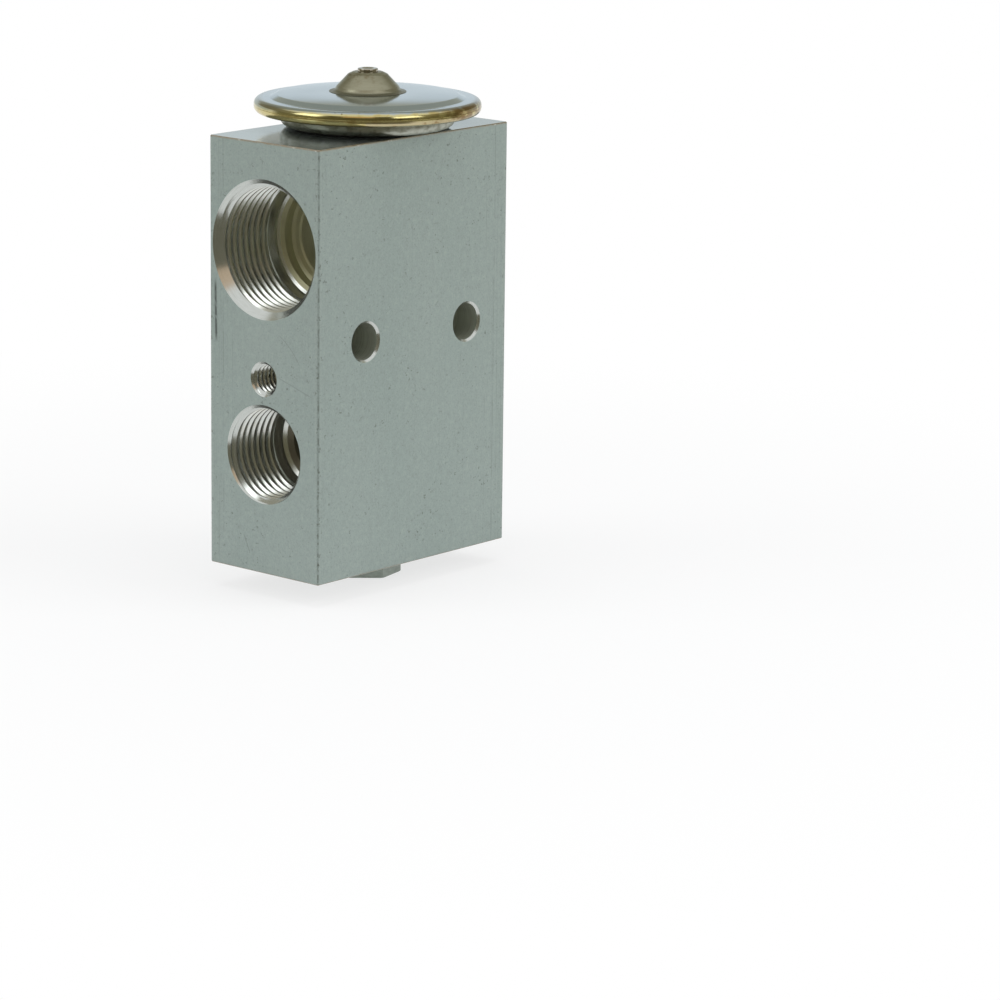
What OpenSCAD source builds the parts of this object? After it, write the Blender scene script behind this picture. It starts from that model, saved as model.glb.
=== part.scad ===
// Block expansion valve: an aluminium block with a suction passage, a liquid inlet and a liquid
// outlet, a welded power element on top and a superheat adjusting nut underneath.
// X is the block's thickness, Y runs along the ports, Z is up. The origin lies under the middle
// of the block, at the underside of the adjusting nut. The front face is at -Y.

/* [Block] */
// Thickness of the block, along X
block_t = 27; // [26:0.5:32]
// Width of the block, along Y, from port face to port face
block_w = 50.8; // [49:0.2:58]
// Height of the block
block_h = 79; // [78:0.5:90]
// Radius of the extruded upright corners
corner_r = 0.4; // [0.2:0.1:1.5]
// Distance of the valve mechanism's axis from the middle of the block, along Y
mech_y = 1.9; // [0.5:0.1:2.5]

/* [Suction passage] */
// Height of the suction passage above the underside of the block
suction_z = 59.6; // [59:0.1:60.5]
// Nominal thread size of both suction ports
suction_nominal = 24; // [22:1:24]
// Diameter of the chamfer at the mouth
suction_mouth_d = 25.5; // [24.6:0.1:26]
// Depth of the tapped bore, down to its conical foot
suction_bore_depth = 15.1; // [14:0.1:16]
// Diameter of the tube pilot behind the thread
suction_pilot_d = 19.8; // [18:0.1:20.2]
// Depth of the tube pilot from the port face
suction_pilot_depth = 18; // [17:0.1:19]
// Diameter of the passage between the two pilots
suction_passage_d = 16; // [14:0.1:17]

/* [Inlet port] */
// Height of the inlet port above the underside of the block
inlet_z = 22.1; // [21.5:0.1:22.5]
// Nominal thread size of the inlet port
inlet_nominal = 18; // [16:1:18]
// Diameter of the chamfer at the mouth
inlet_mouth_d = 18.3; // [18.2:0.1:19.5]
// Depth of the tapped bore, down to its conical foot
inlet_bore_depth = 13.6; // [12.5:0.1:14.5]
// Diameter of the tube pilot
inlet_pilot_d = 12.8; // [12:0.1:13.5]
// Depth of the tube pilot from the port face
inlet_pilot_depth = 16.8; // [16:0.1:18]
// Diameter of the drilled hole to the valve chamber
inlet_hole_d = 5; // [4:0.1:5.4]

/* [Outlet port] */
// Height of the outlet port above the underside of the block
outlet_z = 28.5; // [28.2:0.1:29]
// Nominal thread size of the outlet port
outlet_nominal = 20; // [18:1:20]
// Diameter of the chamfer at the mouth
outlet_mouth_d = 21.3; // [20.6:0.1:22]
// Depth of the tapped bore, down to its conical foot
outlet_bore_depth = 13.9; // [13:0.1:14.8]
// Diameter of the tube pilot
outlet_pilot_d = 15.2; // [14:0.1:15.8]
// Depth of the tube pilot from the port face
outlet_pilot_depth = 16.8; // [16:0.1:17.4]
// Diameter of the bore behind the pilot
outlet_inner_d = 12.6; // [10:0.1:13]
// Diameter of the drilled hole to the orifice
outlet_hole_d = 6; // [5:0.1:6.4]

/* [Threads] */
// Thread pitch of the four ports
port_pitch = 1.5; // [1:0.25:1.5]
// Nominal thread size of the clamping screw hole
clamp_nominal = 6; // [5:1:6]
// Pitch of the clamping screw hole
clamp_pitch = 1; // [0.8:0.1:1]
// Diameter of the chamfer at the mouth of the clamping screw hole
clamp_mouth_d = 6.5; // [6.2:0.1:7]
// Height of the clamping screw hole above the underside of the block
clamp_z = 36; // [35.8:0.1:36.2]
// Depth of the clamping screw hole
clamp_depth = 12; // [9:0.5:13]

/* [Mounting holes] */
// Diameter of the two holes through the block
mount_hole_d = 6.8; // [5.5:0.1:7]
// Diameter of their chamfers
mount_mouth_d = 7.6; // [7.2:0.1:8.2]
// Distance between the two holes
mount_spacing = 27.4; // [27:0.1:28]
// Middle of the pair, along Y
mount_mid_y = 0.7; // [0:0.1:1]
// Height of the pair above the underside of the block
mount_z = 43; // [42.8:0.1:43.6]

/* [Power element] */
// Outer radius of the welded rim
rim_r = 20.75; // [20:0.05:22]
// Height of the diaphragm's seat in the rim above the block
clamp_h = 4.1; // [4:0.1:5]
// Thickness of the cover's flange
cover_flange_t = 1.15; // [1:0.05:1.3]
// Thickness of the base's flange
base_flange_t = 1.35; // [1.2:0.05:1.4]
// Sheet thickness of the cover
cover_t = 0.9; // [0.7:0.05:1]
// Rise of the cover from its flange to its middle
cover_rise = 1.1; // [1:0.05:1.6]
// Outer radius of the lower cup
cup_r = 16; // [15.8:0.1:16.3]
// Outer radius of the cup's flat floor
floor_r = 14.5; // [14.2:0.1:14.7]
// Outer radius of the threaded neck
neck_r = 9.5; // [9:0.1:9.8]
// Inner radius of the threaded neck
neck_inner_r = 7; // [6.4:0.1:7.6]
// Length of the neck below the top of the block
neck_l = 6.4; // [5:0.1:7]
// Thickness of the diaphragm
diaphragm_t = 0.2; // [0.1:0.05:0.25]
// Thickness of the gasket between the cup and the block
gasket_t = 0.35; // [0.2:0.05:0.5]
// Outer radius of the gasket
gasket_r = 13.4; // [12.6:0.1:13.5]

/* [Charge dome] */
// Radius of the dome's foot
dome_foot_r = 7.2; // [6.8:0.05:7.4]
// Radius of the cone where it leaves the foot
dome_base_r = 5.75; // [5.6:0.05:6.3]
// Radius of the cone at the shoulder
dome_top_r = 3.6; // [3.2:0.05:3.8]
// Height of the dome above its seat
dome_h = 3.65; // [3.5:0.05:4.5]
// Wall of the dome
dome_wall = 0.8; // [0.6:0.05:0.9]
// Radius of the plug's head
plug_r = 1.87; // [1.6:0.01:2.1]
// Height of the plug's head
plug_h = 0.6; // [0.4:0.05:0.9]

/* [Sensing rod] */
// Radius of the sensing rod
rod_r = 3.5; // [3:0.1:3.5]
// Radius of the gas passage round the rod, under the neck
gas_bore_r = 5.5; // [5:0.1:6]
// Radius of the seal pocket below the suction passage
seal_bore_r = 5.3; // [5.2:0.1:5.6]
// Depth of the seal pocket below the suction passage
seal_bore_l = 5.1; // [4:0.1:6]
// Length of the guide below the seal pocket
rod_guide_l = 7.5; // [6:0.1:8]
// Thickness of the seal's retainer
retainer_t = 0.4; // [0.3:0.05:0.6]
// Radius of the diaphragm's stopper
stopper_r = 11.5; // [10:0.1:12]
// Thickness of the stopper's plate
stopper_t = 1.4; // [1:0.1:1.8]

/* [Valve] */
// Radius of the ball
ball_r = 2.5; // [2.4:0.05:2.7]
// Radius of the orifice
orifice_r = 1.7; // [1.5:0.05:1.75]
// Outer radius of the orifice seat
seat_r = 4; // [3.6:0.1:4.1]
// Height of the orifice seat
seat_h = 2.3; // [2:0.1:2.4]
// Radius of the push pin
pin_r = 1.2; // [1:0.05:1.3]
// Travel of the ball from closed to fully open
stroke = 0.7; // [0.5:0.05:0.8]

/* [Superheat spring] */
// Wire of the spring
wire_d = 1.1; // [0.9:0.05:1.2]
// Mean radius of the spring
spring_r = 3.1; // [3.05:0.01:3.15]
// Turns that flex
active_turns = 4; // [3:1:5]
// Thickness of the clip's sheet
clip_t = 0.3; // [0.2:0.05:0.35]

/* [Adjusting nut] */
// Width of the hexagon across its flats
nut_af = 11.4; // [11:0.1:12]
// Height of the hexagon below the block
nut_proud = 4.4; // [4:0.1:5]
// Nominal thread size of the nut
nut_nominal = 10; // [10:0.5:10.5]
// Thread pitch of the nut, its travel in one turn
nut_pitch = 1; // [0.75:0.25:1]
// Turn of the hexagon's corner from +X, in degrees
nut_turn = -17.5; // [-30:0.1:30]
// Depth of the pocket in the block that the hexagon turns in
hex_pocket_l = 2.4; // [2:0.1:2.6]
// Radius of the smooth bore for the nut's seal
nut_seal_bore_r = 5.45; // [5.4:0.01:5.5]
// Section of the nut's seal
nut_seal_d = 1.5; // [1.3:0.1:1.6]

/* [Hidden] */
$fn = 72;

// Clearances: a running fit, a tight fit, and the light that is left between touching curves
run_gap = 0.05;
tight_gap = 0.02;
touch_gap = 0.01;
over = 1;

// Minor diameter of a metric thread, which is the bore that is drilled for it
function minor_d(nominal, pitch) = nominal - 1.0825 * pitch;
// Points of an arc round [x, y]
function arc(x, y, r, a0, a1, n = 6) =
    [for (i = [0 : n]) [x + r * cos(a0 + (a1 - a0) * i / n), y + r * sin(a0 + (a1 - a0) * i / n)]];

// Rod and its bores, heights above the underside of the block
head_bore_l = neck_l + 0.6;
suction_floor_z = suction_z - suction_passage_d / 2;
seal_floor_z = suction_floor_z - seal_bore_l;
guide_floor_z = seal_floor_z - rod_guide_l;
rod_foot_z = guide_floor_z + stroke + 0.5;
rod_seal_d = seal_bore_r - rod_r - 2 * tight_gap;
rod_socket_l = 2.8;

// Orifice, ball and carrier
seat_top_z = outlet_z - outlet_hole_d / 2 - 0.2;
chamber_top_z = seat_top_z - seat_h;
seat_mouth_r = orifice_r + 0.7;
contact_r = ball_r * cos(45);
ball_z = chamber_top_z + seat_mouth_r - 2 * contact_r - tight_gap;
collar_r = 3.2;
collar_top_z = ball_z - 0.55;
carrier_flange_r = 3.7;
carrier_flange_z = ball_z - ball_r - 0.8;
carrier_flange_t = 1.2;
carrier_stem_r = 2.3;
carrier_stem_l = 2.6;
inlet_hole_z = chamber_top_z - 0.7 - inlet_hole_d / 2;

// Adjusting nut and its bores
nut_minor_r = minor_d(nut_nominal, nut_pitch) / 2;
chamber_r = nut_minor_r - 0.06;
adjust_travel = nut_pitch;
hex_top_z = hex_pocket_l - adjust_travel - 0.2;
hex_pocket_r = nut_af / 2 / cos(30) + 0.42;
nut_neck_r = nut_seal_bore_r - run_gap;
nut_groove_w = nut_seal_d + 0.1;
nut_groove_r = nut_seal_bore_r - nut_seal_d - tight_gap;
nut_seal_z = hex_pocket_l + adjust_travel + nut_seal_d / 2;
nut_neck_top_z = nut_seal_z + nut_groove_w / 2 + 0.75;
nut_thread_z = nut_neck_top_z + adjust_travel + 0.1;
nut_cup_l = 6.1;
nut_top_z = nut_neck_top_z + nut_cup_l;
nut_pocket_z = nut_neck_top_z + 0.9;
nut_pocket_r = carrier_flange_r + run_gap;
nut_thread_top_z = nut_top_z + adjust_travel + 0.4;

// Spring between its seat and the clip
spring_seat_t = 0.6;
spigot_l = 1.3;
spring_foot_z = nut_pocket_z + spring_seat_t;
spring_head_z = carrier_flange_z - clip_t;
spring_l = spring_head_z - spring_foot_z;
clip_r = chamber_r - 0.08;
clip_leg_l = 3;

// Power element, heights above the block's top
cover_flange_h = clamp_h + diaphragm_t;
rim_top_h = cover_flange_h + cover_flange_t;
rim_foot_h = clamp_h - base_flange_t;
dome_seat_h = rim_top_h + cover_rise;
bow = 1;
cover_flange_w = 2.45;
ramp_w = 1.7;
ramp_rise = 0.65;
ramp_out_r = rim_r - cover_flange_w;
ramp_in_r = ramp_out_r - ramp_w;
ramp_h = rim_top_h + ramp_rise;
dome_land_r = dome_foot_r + 0.3;
bow_flat_r = stopper_r + 0.4;
bow_edge_r = ramp_in_r + 0.9;
bow_shoulder_w = 1.6;
bow_foot_w = 1.4;
weld_r = rim_r - 0.4;
floor_top_h = gasket_t + 0.95;
stopper_top_h = clamp_h + bow;
stopper_foot_h = floor_top_h + stroke + 0.05;
stopper_boss_r = 9;
rod_head_h = stopper_top_h - stopper_t;
plug_shank_r = 1;

// Foot of a bored hole: half angle of its cone, and the width of a pilot's step and lip
foot_angle = 60;
pilot_step_w = 0.6;
pilot_lip = 0.3;

// Places of the bores
front_y = -block_w / 2;
rear_y = block_w / 2;
outlet_inner_y = mech_y + chamber_r + 1.1;
outlet_hole_y = mech_y - outlet_hole_d / 2;

// A bore with a chamfered mouth, along +Y into the block from its mouth at the origin
module mouth_bore(bore_d, mouth_d, depth) {
    chamfer = (mouth_d - bore_d) / 2;
    rotate([-90, 0, 0]) {
        cylinder(d = bore_d, h = depth);
        cylinder(d1 = mouth_d, d2 = bore_d, h = chamfer);
        translate([0, 0, -over]) cylinder(d = mouth_d, h = over);
    }
}

// A plain bore along +Y, from the origin
module inner_bore(d, depth) {
    rotate([-90, 0, 0]) cylinder(d = d, h = depth);
}

// Port along +Y from its mouth at the origin: a chamfer, the tapped bore with its conical foot, and
// the tube pilot, whose foot has a cone and a fine lip round the bore that follows it
module port(bore_d, mouth_d, bore_depth, pilot_d, pilot_depth, next_d) {
    chamfer = (mouth_d - bore_d) / 2;
    lip = next_d > 0 ? pilot_lip : 0;
    step = min(pilot_step_w, ((pilot_d - next_d) / 2 - lip) / 2);
    rotate([-90, 0, 0]) rotate_extrude() polygon([
        [0, -over], [mouth_d / 2, -over], [mouth_d / 2, 0], [bore_d / 2, chamfer],
        [bore_d / 2, bore_depth], [pilot_d / 2, bore_depth + (bore_d - pilot_d) / 2 / tan(foot_angle)],
        [pilot_d / 2, pilot_depth - step / tan(foot_angle)], [pilot_d / 2 - step, pilot_depth],
        if (next_d > 0) [next_d / 2 + lip, pilot_depth],
        if (next_d > 0) [next_d / 2, pilot_depth + lip],
        [0, pilot_depth + lip]]);
}

// Cuts from the front face; turned round, they cut from the rear face
module suction_port() {
    port(minor_d(suction_nominal, port_pitch), suction_mouth_d, suction_bore_depth,
        suction_pilot_d, suction_pilot_depth, suction_passage_d);
}

module inlet_port() {
    port(minor_d(inlet_nominal, port_pitch), inlet_mouth_d, inlet_bore_depth,
        inlet_pilot_d, inlet_pilot_depth, 0);
}

module outlet_port() {
    port(minor_d(outlet_nominal, port_pitch), outlet_mouth_d, outlet_bore_depth,
        outlet_pilot_d, outlet_pilot_depth, outlet_inner_d);
}

module clamp_hole() {
    d = minor_d(clamp_nominal, clamp_pitch);
    mouth_bore(d, clamp_mouth_d, clamp_depth);
    translate([0, clamp_depth, 0])
        rotate([-90, 0, 0]) cylinder(d1 = d, d2 = 0.4, h = (d - 0.4) / 2 / tan(foot_angle));
}

// The two holes across the block, chamfered on both side faces
module mount_holes() {
    chamfer = (mount_mouth_d - mount_hole_d) / 2;
    for (side = [-1, 1]) translate([0, mount_mid_y + side * mount_spacing / 2, mount_z]) {
        translate([-block_t / 2 - over, 0, 0])
            rotate([0, 90, 0]) cylinder(d = mount_hole_d, h = block_t + 2 * over);
        for (face = [0, 1]) mirror([face, 0, 0]) translate([block_t / 2 - chamfer, 0, 0])
            rotate([0, 90, 0]) cylinder(d1 = mount_hole_d, d2 = mount_mouth_d, h = chamfer);
    }
}

// Stepped bores along the mechanism's axis, from the top of the block to its underside
module mechanism_bores() {
    translate([0, mech_y, 0]) {
        translate([0, 0, block_h - head_bore_l])
            cylinder(r = neck_r + run_gap, h = head_bore_l + over);
        translate([0, 0, suction_z]) cylinder(r = gas_bore_r, h = block_h - suction_z - neck_l);
        translate([0, 0, seal_floor_z]) cylinder(r = seal_bore_r, h = suction_z - seal_floor_z);
        translate([0, 0, guide_floor_z])
            cylinder(r = rod_r + run_gap, h = suction_z - guide_floor_z);
        translate([0, 0, outlet_z]) cylinder(r = pin_r + run_gap, h = suction_z - outlet_z);
        translate([0, 0, chamber_top_z]) cylinder(r = orifice_r + 0.8, h = outlet_z - chamber_top_z);
        translate([0, 0, chamber_top_z - over]) cylinder(r = seat_r, h = seat_h + over);
        translate([0, 0, nut_seal_z]) cylinder(r = chamber_r, h = chamber_top_z - nut_seal_z);
        translate([0, 0, nut_seal_z]) cylinder(r = nut_minor_r, h = nut_thread_top_z - nut_seal_z);
        translate([0, 0, -over]) cylinder(r = nut_seal_bore_r, h = nut_thread_z + over);
        translate([0, 0, -over]) cylinder(r = hex_pocket_r, h = hex_pocket_l + over);
    }
}

// Extruded section of the block, with rounded upright corners
module block_section() {
    for (inset = [[corner_r, 0], [0, corner_r]])
        square([block_t - 2 * inset[0], block_w - 2 * inset[1]], center = true);
    for (x = [-1, 1], y = [-1, 1])
        translate([x * (block_t / 2 - corner_r), y * (block_w / 2 - corner_r)]) circle(r = corner_r);
}

module valve_block() {
    color([0.56, 0.59, 0.56]) translate([0, 0, nut_proud]) difference() {
        linear_extrude(height = block_h) block_section();
        translate([0, front_y, suction_z]) suction_port();
        translate([0, rear_y, suction_z]) rotate([0, 0, 180]) suction_port();
        translate([0, front_y + suction_bore_depth, suction_z])
            inner_bore(suction_passage_d, block_w - 2 * suction_bore_depth);
        translate([0, front_y, inlet_z]) inlet_port();
        translate([0, front_y + inlet_bore_depth, inlet_hole_z])
            inner_bore(inlet_hole_d, mech_y - front_y - inlet_bore_depth);
        translate([0, rear_y, outlet_z]) rotate([0, 0, 180]) outlet_port();
        translate([0, outlet_inner_y, outlet_z])
            inner_bore(outlet_inner_d, rear_y - outlet_bore_depth - outlet_inner_y);
        translate([0, outlet_hole_y, outlet_z])
            inner_bore(outlet_hole_d, rear_y - outlet_bore_depth - outlet_hole_y);
        translate([0, front_y, clamp_z]) clamp_hole();
        mount_holes();
        mechanism_bores();
    }
}

// Places a piece of the power element, whose heights start at the top of the block
module on_block() {
    translate([0, mech_y, nut_proud + block_h]) children();
}

// Places a piece of the mechanism, whose heights start at the underside of the block
module in_block() {
    translate([0, mech_y, nut_proud]) children();
}

// Top of the cover from the land under the dome to the ramp, a shallow crown
function crown_h(r) =
    ramp_h + (dome_seat_h - ramp_h) * (1 - pow((r - dome_land_r) / (ramp_in_r - dome_land_r), 2));

module element_cover() {
    hole_r = dome_top_r - 0.4;
    corner = 1.1;
    steps = 6;
    crown = [for (i = [0 : steps]) dome_land_r + (ramp_in_r - dome_land_r) * i / steps];
    outer = concat(
        [[hole_r, dome_seat_h]],
        [for (r = crown) [r, crown_h(r)]],
        [[ramp_in_r + 0.5, ramp_h - 0.12], [ramp_out_r - 0.4, rim_top_h + 0.08], [ramp_out_r, rim_top_h]],
        arc(rim_r - corner, rim_top_h - corner, corner, 90, 0),
        [[rim_r, clamp_h], [weld_r, clamp_h], [weld_r, cover_flange_h]]);
    inner = concat(
        [[ramp_out_r - 0.6, cover_flange_h], [ramp_in_r - 0.1, ramp_h - cover_t]],
        [for (i = [steps - 1 : -1 : 0]) [crown[i], crown_h(crown[i]) - cover_t]],
        [[hole_r, dome_seat_h - cover_t]]);
    color([0.66, 0.69, 0.70]) on_block() rotate_extrude() polygon(concat(outer, inner));
}

// Bell-shaped cap with a flared foot and a hollow that holds the charge
module charge_dome() {
    slope_h = dome_base_r - dome_top_r;
    foot_h = dome_h - slope_h - 0.45;
    shoulder_h = foot_h + slope_h;
    outer = [
        [dome_foot_r, 0], [dome_foot_r, 0.12], [dome_foot_r - 0.35, 0.22],
        [dome_base_r + 0.15, foot_h * 0.55], [dome_base_r, foot_h], [dome_top_r, shoulder_h],
        [dome_top_r - 0.35, shoulder_h + 0.24], [dome_top_r - 0.8, dome_h - 0.06],
        [plug_r + 0.1, dome_h], [plug_shank_r + tight_gap, dome_h]];
    inner = [
        [plug_shank_r + tight_gap, dome_h - dome_wall],
        [dome_top_r - dome_wall - 0.2, dome_h - dome_wall],
        [dome_base_r - dome_wall - 0.5, 0.4], [dome_base_r - dome_wall - 0.5, 0]];
    color([0.55, 0.52, 0.45]) on_block() translate([0, 0, dome_seat_h])
        rotate_extrude() polygon(concat(outer, inner));
}

// Plug pressed into the dome, with a chamfered head and a shallow dimple
module fill_plug() {
    chamfer = 0.25;
    color([0.72, 0.72, 0.70]) on_block() translate([0, 0, dome_seat_h + dome_h]) rotate_extrude()
        polygon([
            [0, -dome_wall], [plug_shank_r, -dome_wall], [plug_shank_r, 0], [plug_r, 0],
            [plug_r, plug_h - chamfer], [plug_r - chamfer, plug_h], [0.8, plug_h],
            [0.5, plug_h - 0.15], [0, plug_h - 0.15]]);
}

// Pressed lower cup with its rim flange above and its threaded neck below
module element_base() {
    corner = 1.15;
    wall = 0.95;
    cup_top_h = rim_foot_h - 0.55;
    cup_foot_h = gasket_t + cup_r - floor_r;
    outer = concat(
        [[neck_inner_r, -neck_l], [neck_r - 0.5, -neck_l], [neck_r, -neck_l + 0.5],
            [neck_r, gasket_t], [floor_r, gasket_t]],
        arc(floor_r, cup_foot_h, cup_foot_h - gasket_t, -75, -15, 4),
        [[cup_r, cup_foot_h], [cup_r, cup_top_h], [cup_r + 0.4, rim_foot_h - 0.1],
            [cup_r + 1, rim_foot_h]],
        arc(rim_r - corner, clamp_h - 0.2, corner, -90, 0),
        [[rim_r, clamp_h]]);
    inner = [
        [bow_edge_r, clamp_h], [cup_r + 0.9, clamp_h - 0.35], [cup_r - 0.3, clamp_h - 0.75],
        [cup_r - wall, cup_top_h + 0.5], [cup_r - wall, cup_foot_h],
        [floor_r + 0.35, floor_top_h + 0.15], [floor_r, floor_top_h], [neck_inner_r, floor_top_h]];
    color([0.60, 0.60, 0.56]) on_block() rotate_extrude() polygon(concat(outer, inner));
}

module element_gasket() {
    color([0.08, 0.08, 0.08]) on_block() rotate_extrude()
        polygon([[neck_r + run_gap, 0], [gasket_r - 0.1, 0], [gasket_r, gasket_t / 2],
            [gasket_r - 0.1, gasket_t], [neck_r + run_gap, gasket_t]]);
}

// Thin disc, held flat in the rim and bowed upwards by the valve's closed stem
module diaphragm() {
    edge_r = weld_r - run_gap;
    top = [[0, bow], [bow_flat_r, bow], [bow_flat_r + bow_shoulder_w, bow * 0.75],
        [bow_edge_r - bow_foot_w, bow * 0.2], [bow_edge_r, 0], [edge_r, 0]];
    sheet = concat([for (i = [len(top) - 1 : -1 : 0]) top[i]], [for (p = top) p + [0, diaphragm_t]]);
    color([0.70, 0.70, 0.68]) on_block() translate([0, 0, clamp_h]) rotate_extrude() polygon(sheet);
}

// Plate under the diaphragm, whose boss lands on the cup's floor at full stroke
module diaphragm_stopper() {
    color([0.62, 0.62, 0.60]) on_block() rotate_extrude() polygon([
        [0, stopper_top_h], [stopper_r - 0.3, stopper_top_h], [stopper_r, stopper_top_h - 0.3],
        [stopper_r, stopper_top_h - stopper_t], [stopper_boss_r, stopper_top_h - stopper_t],
        [stopper_boss_r, stopper_foot_h], [rod_r + tight_gap, stopper_foot_h],
        [rod_r + tight_gap, rod_head_h], [0, rod_head_h]]);
}

// Aluminium rod with a blind hole in its foot for the push pin
module sensing_rod() {
    top_z = block_h + rod_head_h;
    chamfer = 0.4;
    pin_hole_r = pin_r + tight_gap;
    color([0.75, 0.76, 0.77]) in_block() rotate_extrude() polygon([
        [0, top_z], [rod_r - chamfer, top_z], [rod_r, top_z - chamfer],
        [rod_r, rod_foot_z + chamfer], [rod_r - chamfer, rod_foot_z], [pin_hole_r, rod_foot_z],
        [pin_hole_r, rod_foot_z + rod_socket_l], [0, rod_foot_z + rod_socket_l]]);
}

// A ring of round section
module ring_seal(inner_r, section_d) {
    rotate_extrude() translate([inner_r + section_d / 2, 0]) circle(d = section_d);
}

module rod_seal() {
    color([0.05, 0.05, 0.05]) in_block() translate([0, 0, seal_floor_z + rod_seal_d / 2 + touch_gap])
        ring_seal(rod_r + tight_gap, rod_seal_d);
}

// Washer whose teeth grip the wall of the seal pocket
module rod_seal_retainer() {
    teeth = 8;
    notch = 1.1;
    color([0.68, 0.68, 0.66]) in_block() translate([0, 0, seal_floor_z + rod_seal_d + 2 * touch_gap])
        difference() {
            cylinder(r = seal_bore_r - touch_gap, h = retainer_t);
            translate([0, 0, -over]) cylinder(r = rod_r + 0.3, h = retainer_t + 2 * over);
            for (i = [0 : teeth - 1]) rotate([0, 0, i * 360 / teeth])
                translate([seal_bore_r - 0.7, -notch / 2, -over]) cube([over, notch, retainer_t + 2 * over]);
        }
}

module push_pin() {
    foot_z = ball_z + ball_r + touch_gap;
    color([0.72, 0.72, 0.72]) in_block() translate([0, 0, foot_z])
        cylinder(r = pin_r, h = rod_foot_z + rod_socket_l - foot_z);
}

// Pressed seat: a straight orifice that opens into a 90 degree cone over the ball
module orifice_seat() {
    cone = seat_mouth_r - orifice_r;
    color([0.72, 0.70, 0.66]) in_block() translate([0, 0, chamber_top_z]) rotate_extrude() polygon([
        [seat_mouth_r, 0], [seat_r, 0], [seat_r, seat_h], [orifice_r, seat_h], [orifice_r, cone]]);
}

module valve_ball() {
    color([0.80, 0.80, 0.80]) in_block() translate([0, 0, ball_z]) sphere(r = ball_r);
}

// Cup that holds the ball, with a flange for the spring and a stem inside it
module ball_carrier() {
    cup_z = ball_z - contact_r - tight_gap;
    dimple_r = 0.8;
    mouth_r = contact_r + collar_top_z - cup_z;
    flange_top_z = carrier_flange_z + carrier_flange_t;
    color([0.70, 0.62, 0.40]) in_block() rotate_extrude() polygon([
        [0, carrier_flange_z - carrier_stem_l], [carrier_stem_r - 0.3, carrier_flange_z - carrier_stem_l],
        [carrier_stem_r, carrier_flange_z - carrier_stem_l + 0.3], [carrier_stem_r, carrier_flange_z],
        [carrier_flange_r, carrier_flange_z], [carrier_flange_r, flange_top_z],
        [collar_r, flange_top_z], [collar_r, collar_top_z], [mouth_r, collar_top_z],
        [dimple_r, cup_z - contact_r + dimple_r], [0, cup_z - contact_r + dimple_r]]);
}

// Ring under the carrier's flange with four leaves that rub on the chamber's wall
module carrier_clip() {
    leaves = 4;
    slot = 3.4;
    foot_z = spring_head_z - clip_leg_l;
    color([0.74, 0.74, 0.72]) in_block() difference() {
        translate([0, 0, foot_z]) cylinder(r = clip_r, h = clip_leg_l + clip_t);
        translate([0, 0, foot_z - over]) cylinder(r = clip_r - clip_t, h = clip_leg_l + over);
        translate([0, 0, foot_z - over])
            cylinder(r = carrier_stem_r + run_gap, h = clip_leg_l + clip_t + 2 * over);
        for (i = [0 : leaves - 1]) rotate([0, 0, 45 + i * 360 / leaves])
            translate([clip_r - 2 * clip_t, -slot / 2, foot_z - over])
                cube([over + clip_t, slot, clip_leg_l + over]);
    }
}

// Height of the wire's middle after t turns: one closed turn at each end, even coils between
function coil_rise(t) = let (
        turns = active_turns + 2,
        lift = (spring_l - 2 * wire_d) / active_turns,
        foot = min(t, 1), head = max(t - turns + 1, 0), mid = min(max(t - 1, 0), active_turns))
    wire_d * 0.15 + wire_d * 0.85 * foot + lift * mid + wire_d * 0.85 * head;

// Compression spring: a round wire swept along its helix, with both ends ground flat
module coil_spring() {
    turns = active_turns + 2;
    sides = 10;
    rings_per_turn = 24;
    rings = turns * rings_per_turn;
    lean = atan(spring_l / turns / (2 * PI * spring_r));
    points = [
        for (i = [0 : rings]) let (t = i / rings_per_turn, a = t * 360)
            for (j = [0 : sides - 1]) let (b = j * 360 / sides,
                out = wire_d / 2 * cos(b), up = wire_d / 2 * sin(b))
                [(spring_r + out) * cos(a) + up * sin(lean) * sin(a),
                 (spring_r + out) * sin(a) - up * sin(lean) * cos(a),
                 coil_rise(t) + up * cos(lean)]];
    skin = [
        for (i = [0 : rings - 1], j = [0 : sides - 1]) let (k = (j + 1) % sides)
            [i * sides + j, (i + 1) * sides + j, (i + 1) * sides + k, i * sides + k]];
    start = [for (j = [0 : sides - 1]) j];
    end = [for (j = [sides - 1 : -1 : 0]) rings * sides + j];
    color([0.62, 0.62, 0.62]) in_block() translate([0, 0, spring_foot_z]) intersection() {
        polyhedron(points, concat([start], skin, [end]), convexity = 12);
        translate([-2 * spring_r, -2 * spring_r, 0]) cube([4 * spring_r, 4 * spring_r, spring_l]);
    }
}

// Washer under the spring, with a spigot that centres it
module spring_seat() {
    spigot_r = spring_r - wire_d / 2 - 0.15;
    color([0.66, 0.64, 0.58]) in_block() translate([0, 0, nut_pocket_z]) {
        cylinder(r = nut_pocket_r - run_gap, h = spring_seat_t);
        cylinder(r = spigot_r, h = spring_seat_t + spigot_l);
    }
}

module adjuster_seal() {
    color([0.05, 0.05, 0.05]) in_block() translate([0, 0, nut_seal_z])
        ring_seal(nut_groove_r + touch_gap, nut_seal_d);
}

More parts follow.
